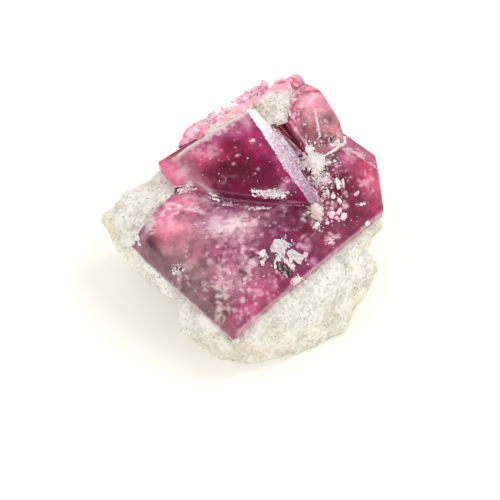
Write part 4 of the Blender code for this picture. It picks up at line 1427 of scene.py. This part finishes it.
@dataclass
class RoughCrystal:
    """A crystal behind the slab: its blocks, worn and broken by noise."""

    node: str
    blocks: Sequence[Block]
    hollows: Sequence[Hollow]
    relief: Sequence[Pair]
    base: str
    finish: Beryl
    marks: Sequence[Mark]
    grit: Sequence[Grit]
    seed: int
    voxel: float = 0.11

    @property
    def placed_blocks(self) -> list[tuple[Block, Bearing]]:
        """The blocks with the frame that they are given in."""
        return [(block, UPPER) for block in self.blocks]

    def build(self) -> list[bpy.types.Object]:
        """Settle the crystal's skin on its blocks, break it up and fill it with flakes."""
        form = Form(self.placed_blocks, [(hollow, UPPER) for hollow in self.hollows], 0.04, 0.06)
        points, quads = skin_of(self.node, self.voxel)
        points, slope = form.settle(points)
        points = points + slope * layered_noise(points, self.relief, self.seed)[:, None]
        glass = make_piece(f"{self.node}_glass", points, quads)
        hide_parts(self.node)
        colours, milky = shade(points, UPPER, self.base, self.marks, self.seed)
        keep_values(glass, "tint", evened(colours, milky, self.finish.clearness))
        wear_finishes(glass, [self.finish, *HAZES], haze_of(milky, quads))
        bits = Bits()
        bits.add_flakes(kinds(self.marks, Cloud), UPPER, form, self.seed)
        bits.add_spots(kinds(self.marks, Spots), UPPER, form, self.seed + 1)
        inside = bits.join(f"{self.node}_inclusions", self.node, Flakes)
        on = SurfaceGrains(f"{self.node}_surface_grains", self.node, form, [(UPPER, self.grit)],
                           seed=self.seed + 2)
        return [glass, inside, on.build()]


REAR_CRYSTAL = RoughCrystal(
    "rear_crystal", REAR_BLOCKS, hollows=[
        Hollow((-0.9, 2.7, -1.0), (0.9, 0.8, 0.7)), Hollow((4.1, 2.0, -0.9), (0.5, 0.4, 0.6)),
        Hollow((-3.2, 0.9, -1.1), (0.7, 0.5, 0.6))],
    relief=((1.2, 0.17), (0.5, 0.14), (0.27, 0.09)), base="F0A0BC",
    finish=Beryl("pink_beryl", (0.995, 0.84, 0.91), 500.0, 0.5, 0.2), marks=[
        Zone(-6.8, 0.9, 1.7, 1.4, 0, "E86898", 1.0, 0.5),
        Zone(-4.4, 1.4, 2.0, 1.0, 0, "E8809E", 1.0, 0.8),
        Zone(-1.5, 1.5, 2.0, 0.9, 0, "FAE0DE", 1.0, 0.9),
        Zone(2.0, 1.4, 2.4, 0.9, 0, "F490B8", 1.0, 0.9),
        Zone(5.4, 0.9, 1.2, 1.0, 0, "F0A8B8", 1.0, 0.7),
        Zone(5.6, 0.3, 0.6, 0.5, 0, "F04868"),
        Line((-8.3, 0.4), (-5.4, 2.6), 0.14, "B01040", 0.9),
        Cloud(-4.6, 1.2, 3.4, 1.0, 0, 1200, 0.15, BLUSH, 1.6, 2.2, 0.3, 0.0, 0.9),
        Cloud(-6.6, 0.9, 1.6, 1.0, 0, 400, 0.15, PINK, 1.6, 2.2, 0.3, 0.1, 0.7),
        Cloud(1.5, 1.3, 3.4, 0.9, 0, 1200, 0.15, PINK, 1.35, 2.2, 0.3, 0.0, 0.8),
        Cloud(0.6, 1.1, 3.0, 0.5, 0, 700, 0.15, WHITE, 1.35, 1.8, 0.3, 0.0, 0.9),
        Cloud(5.2, 0.7, 1.6, 1.2, 0, 900, 0.15, PINK, 1.15, 2.2, 0.3, 0.0, 0.8)], grit=[
        Grit(-2.5, 1.5, 3.6, 0.7, 0, 300, 0.28, (BLUSH, PINK, PINK), -0.08, -1.5),
        Grit(2.6, 1.7, 3.0, 0.6, 0, 260, 0.28, (PINK, PINK, BLUSH), -0.08, -1.3),
        Grit(5.6, 1.2, 1.2, 0.7, 0, 160, 0.24, (PINK, PINK), -0.04, -1.1),
        Grit(-1.2, 1.2, 0.5, 0.12, 0, 14, 0.12, (DARK,), 0.0, -1.4),
        Grit(1.0, 1.0, 0.5, 0.12, 0, 14, 0.12, (DARK,), 0.0, -1.3)],
    seed=51)
BROKEN_CRYSTAL = RoughCrystal(
    "broken_crystal", [BROKEN_BLOCK], hollows=[
        Hollow((6.2, -8.4, 1.0), (1.9, 1.7, 1.6)), Hollow((6.4, -5.2, 1.9), (1.5, 2.3, 2.0)),
        Hollow((6.0, -0.9, 1.0), (1.4, 1.1, 1.1))],
    relief=((1.5, 0.05), (0.5, 0.035), (0.25, 0.02)), base="DC8898",
    finish=Beryl("brownish_red_beryl", (0.995, 0.78, 0.85), 500.0, 0.6, 0.07), marks=[
        Zone(3.9, -2.8, 1.1, 2.2, -25, "BC2058", 1.0, 0.15),
        Zone(4.6, -4.3, 2.2, 0.55, 58, "C09094", 1.0, 0.35),
        Zone(3.6, -5.2, 0.8, 2.0, -20, "9C2C50", 1.0),
        Zone(6.3, -5.2, 1.5, 1.7, 0, "D88C98", 1.0, 0.3),
        Zone(4.9, -7.0, 1.6, 0.8, -30, "A8606C"),
        Zone(6.2, -2.6, 0.8, 0.6, 0, "F0C8C4", 1.0, 0.5),
        Zone(7.2, -3.6, 0.6, 1.4, 0, "F090B0", 1.0, 0.5),
        Zone(5.9, -2.5, 1.6, 1.7, -20, "F4A0B6", 1.0, 0.85),
        Line((4.6, -0.9), (7.2, -2.4), 0.18, "981040", 0.9),
        Line((5.7, -3.9), (4.6, -6.4), 0.10, "F8E0E4", 0.9),
        Line((3.2, -3.2), (3.1, -6.8), 0.12, "F8A8B8", 0.8),
        Line((7.3, -4.4), (7.2, -6.4), 0.14, "F8B8CC", 0.8),
        Cloud(4.1, -2.6, 1.0, 1.7, -25, 400, 0.13, PINK, -0.2, 0.8, 0.2, 0.25, 0.8, 2.0),
        Cloud(4.6, -1.5, 0.9, 0.7, 0, 300, 0.13, BLUSH, -0.2, 0.5, 0.25, 0.0, 0.9),
        Cloud(6.2, -2.6, 0.7, 0.5, 0, 300, 0.12, BLUSH, -0.2, 0.6, 0.25, 0.0, 0.7),
        Cloud(5.4, -7.2, 1.6, 0.9, -30, 500, 0.12, BLUSH, 0.0, 0.8, 0.25, 0.1, 0.9),
        Spots(4.0, -3.0, 1.0, 1.6, -25, 16, 0.16, PINK, 0.8)], grit=[
        Grit(4.9, -7.8, 1.6, 0.35, -25, 520, 0.16, (WHITE, WHITE), 0.02, -0.6),
        Grit(6.6, -7.7, 1.2, 0.35, -20, 360, 0.16, (WHITE, BLUSH), 0.02, -1.0),
        Grit(3.5, -7.2, 0.8, 0.6, 40, 420, 0.18, (WHITE, WHITE), 0.04, -0.8),
        Grit(4.9, -5.6, 0.12, 1.4, -22, 90, 0.1, (WHITE, BLUSH), 0.0, 0.1),
        Grit(3.3, -2.4, 0.15, 1.4, 0, 120, 0.14, (WHITE, PINK), 0.0, -0.3),
        Grit(4.2, -1.3, 0.9, 0.3, 20, 90, 0.12, (WHITE, PINK), 0.0, 0.1),
        Grit(5.4, -7.2, 0.9, 0.3, -20, 26, 0.14, (DARK,), 0.0, 0.0)],
    seed=61)


@dataclass
class Rock:
    """A piece of rhyolite: a skin over its CAD solid, roughened and grown against the crystals.

    The plain one is the rock that the crystals sit on, with its base kept flat.
    """

    crystals: Sequence[Form]
    node: str = "rhyolite_matrix"
    voxel: float = 0.19
    swells: Sequence[Pair] = ((1.3, 0.20), (0.6, 0.14), (0.36, 0.10))
    finish: Rhyolite = Rhyolite()
    seed: float = 71.0
    flat_base: bool = True
    # Growth against a crystal: how far, and at which distances from it growth starts and is full.
    closing: float = 0.42
    closing_from: Pair = (0.75, 0.45)

    def stain(self, points: np.ndarray, out: np.ndarray) -> np.ndarray:
        """Cream of the rock: strong on its outer rim where the faces turn sideways or down, and
        near its left tip.
        """
        far = np.hypot(points[:, 0] + 0.5, points[:, 1] + 1.0)
        rim = smooth_step(far, 9.0, 13.0) * smooth_step(-out[:, 2], -0.8, 0.1)
        tip = np.exp(-(np.linalg.norm(points[:, :2] - [-14.2, -0.6], axis=1) / 1.3) ** 2)
        return np.clip(rim * 0.55 + 1.6 * tip + 0.2 * smooth_noise(points, 3.0, 9.0), 0.0, 1.0)

    def sink(self, points: np.ndarray) -> np.ndarray:
        """No sinking: the rock stands as its CAD solid does."""
        return np.zeros(len(points))

    def closed(self, points: np.ndarray, moved: np.ndarray) -> np.ndarray:
        """Places moved toward a crystal where one is near, with half of the roughness."""
        near = np.zeros(len(points))
        toward = np.zeros_like(points)
        for form in self.crystals:
            level, slope = form.level(points)
            share = smooth_step(-level, -self.closing_from[0], -self.closing_from[1])
            closer = share > near
            near[closer] = share[closer]
            toward[closer] = -slope[closer]
        growth = (self.closing * near)[:, None] * toward
        return np.where(near[:, None] > 0.0, points + growth + (moved - points) * 0.5, moved)

    def build(self) -> bpy.types.Object:
        """Roughen the skin, close the gap under the crystals and keep the base flat."""
        points, quads = skin_of(self.node, self.voxel)
        normals = skin_normals(points, quads)
        flat = (points[:, 2] < 0.02) & self.flat_base
        grown = np.where(flat, 0.0, layered_noise(points, self.swells, self.seed))
        moved = self.closed(points, points + normals * grown[:, None])
        moved = moved - LOWER.axes[:, 2] * self.sink(points)[:, None]
        moved[:, 2] = np.where(flat, 0.0, np.maximum(moved[:, 2], 0.0))
        made = make_piece(f"{self.node}_rough", moved, quads)
        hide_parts(self.node)
        keep_values(made, "stain", self.stain(moved, normals))
        made.data.materials.append(self.finish.make())
        return made


@dataclass
class Seam(Rock):
    """Grey and cream rock caught between the crystals."""

    node: str = "seam_rhyolite"
    voxel: float = 0.12
    swells: Sequence[Pair] = ((0.6, 0.14), (0.3, 0.12))
    finish: Rhyolite = Rhyolite("grey_green_seam", "F2ECE4", "B4AC9A", "7A6A60", "F2A4BC",
                                0.26, 0.34)
    seed: float = 72.0
    flat_base: bool = False

    def stain(self, points: np.ndarray, out: np.ndarray) -> np.ndarray:
        """Pink bloom of beryl over the seam's upper end, beside the rear crystal."""
        across, up, _ = UPPER.inwards(points).T
        up = up + 0.35 * smooth_noise(points, 0.4, 15.0) + 0.6 * smooth_step(across, 2.5, 4.5)
        return 1.6 * smooth_step(up, 0.0, 0.7)


@dataclass
class Crust(Rock):
    """White crust along the foot of the slab's right side."""

    node: str = "white_crust"
    voxel: float = 0.10
    swells: Sequence[Pair] = ((0.5, 0.22), (0.22, 0.12))
    finish: Rhyolite = Rhyolite("white_crust", "FDFAF8", "E2D4D6", "A88C94", "CCA8A4",
                                0.22, 0.34)
    seed: float = 73.0
    flat_base: bool = False
    # The two patches that stand on the crystal: x, y and reach.
    standing: Sequence[Triple] = ((19.4, 9.1, 1.25), (15.3, 4.8, 0.85))

    def stain(self, points: np.ndarray, out: np.ndarray) -> np.ndarray:
        """Dusky beige of the crust's lower patches."""
        along = LOWER.inwards(points)[:, 0] + 0.4 * smooth_noise(points, 0.4, 16.0)
        return 1.5 * smooth_step(-along, -18.8, -17.6)

    def sink(self, points: np.ndarray) -> np.ndarray:
        """How far the crust sinks in the crystal: it stands in its patches alone."""
        x, y, _ = LOWER.inwards(points).T
        sunk = np.ones(len(points))
        for middle_x, middle_y, reach in self.standing:
            sunk *= smooth_step(np.hypot(x - middle_x, y - middle_y), 0.6 * reach, 1.4 * reach)
        lower = 0.22 * smooth_step(-x, -18.8, -17.8)
        return 0.05 + lower + sunk * (1.2 + 0.4 * smooth_noise(points, 0.5, 6.0))


@dataclass
class Studio:
    """Pale board, soft light from all round and a camera looking down at the specimen."""

    aim: Triple = (0.887, -3.980, 6.5)
    elevation: float = 52.0
    distance: float = 150.0
    lens: float = 108.0
    near_clip: float = 0.001
    glow: str = "FFFEFD"
    sky: float = 1.38
    ceiling: float = 0.32
    # Heights at which the light tent's opening starts and is fully dark, as a share of up.
    opening: Pair = (0.72, 0.97)
    window: Triple = (120.0, 100.0, 200.0)
    window_aim: Triple = (0.0, 0.0, 5.0)
    window_size: float = 100.0
    window_watts: float = 0.16
    board_reach: float = 0.6

    def build(self) -> None:
        """Make the floor, the light and the camera."""
        floor = self.floor()
        bpy.context.scene.world = self.tent()
        self.lamp()
        rise = math.radians(self.elevation)
        back = Vector((0.0, -math.cos(rise), math.sin(rise)))
        camera = bpy.data.objects.new("camera", bpy.data.cameras.new("camera"))
        camera.data.lens = self.lens
        camera.data.clip_start = self.near_clip
        camera.location = (Vector(self.aim) + back * self.distance) * MM
        camera.rotation_euler = (-back).to_track_quat("-Z", "Y").to_euler()
        bpy.context.scene.collection.objects.link(camera)
        bpy.context.scene.camera = camera
        bpy.context.scene.view_settings.view_transform = "Standard"

    def tent(self) -> bpy.types.World:
        """A white light tent whose opening, for the camera, keeps haze off the top faces."""
        world = bpy.data.worlds.new("soft_white_room")
        world.use_nodes = True
        tree = world.node_tree
        tree.nodes.clear()
        toward = add_node(tree, "TexCoord").outputs["Generated"]
        height = add_node(tree, "SeparateXYZ", {"Vector": toward})
        strength = add_node(tree, "MapRange",
                            {"Value": height.outputs["Z"], "From Min": self.opening[0],
                             "From Max": self.opening[1], "To Min": self.sky,
                             "To Max": self.ceiling})
        glow = add_node(tree, "Background",
                        {"Color": linear(self.glow), "Strength": strength.outputs[0]})
        add_node(tree, "OutputWorld", {"Surface": glow.outputs["Background"]})
        return world

    def floor(self) -> bpy.types.Object:
        """A wide board with its top at the specimen's base."""
        mesh = bpy.data.meshes.new("board")
        signs = [(-1, -1), (1, -1), (1, 1), (-1, 1)]
        mesh.from_pydata([(x * self.board_reach, y * self.board_reach, 0) for x, y in signs], [],
                         [(0, 1, 2, 3)])
        mesh.materials.append(PaleSheet().make())
        made = bpy.data.objects.new("board", mesh)
        bpy.context.scene.collection.objects.link(made)
        return made

    def lamp(self) -> None:
        """A soft square window light, turned to the specimen."""
        light = bpy.data.lights.new("window", "AREA")
        light.size = self.window_size * MM
        light.energy = self.window_watts
        made = bpy.data.objects.new("window", light)
        made.location = Vector(self.window) * MM
        toward = Vector(self.window_aim) - Vector(self.window)
        made.rotation_euler = toward.to_track_quat("-Z", "Y").to_euler()
        bpy.context.scene.collection.objects.link(made)


def main() -> None:
    """Build the specimen piece by piece, and the studio round it."""
    logging.basicConfig(level=logging.INFO, format="%(message)s")
    Studio().build()
    crystal = MainCrystal()
    crystal.build()
    MainInclusions(crystal.form).build()
    SurfaceGrains("main_crystal_surface_grains", "main_crystal", crystal.form,
                  [(LOWER, LOWER_GRIT), (UPPER, SLAB_GRIT)], LOWER_GRAINS).build()
    forms = [crystal.form]
    for rough in (REAR_CRYSTAL, BROKEN_CRYSTAL):
        rough.build()
        forms.append(Form(rough.placed_blocks))
    for rock in (Rock, Seam, Crust):
        rock(forms).build()


if __name__ == "__main__":
    main()
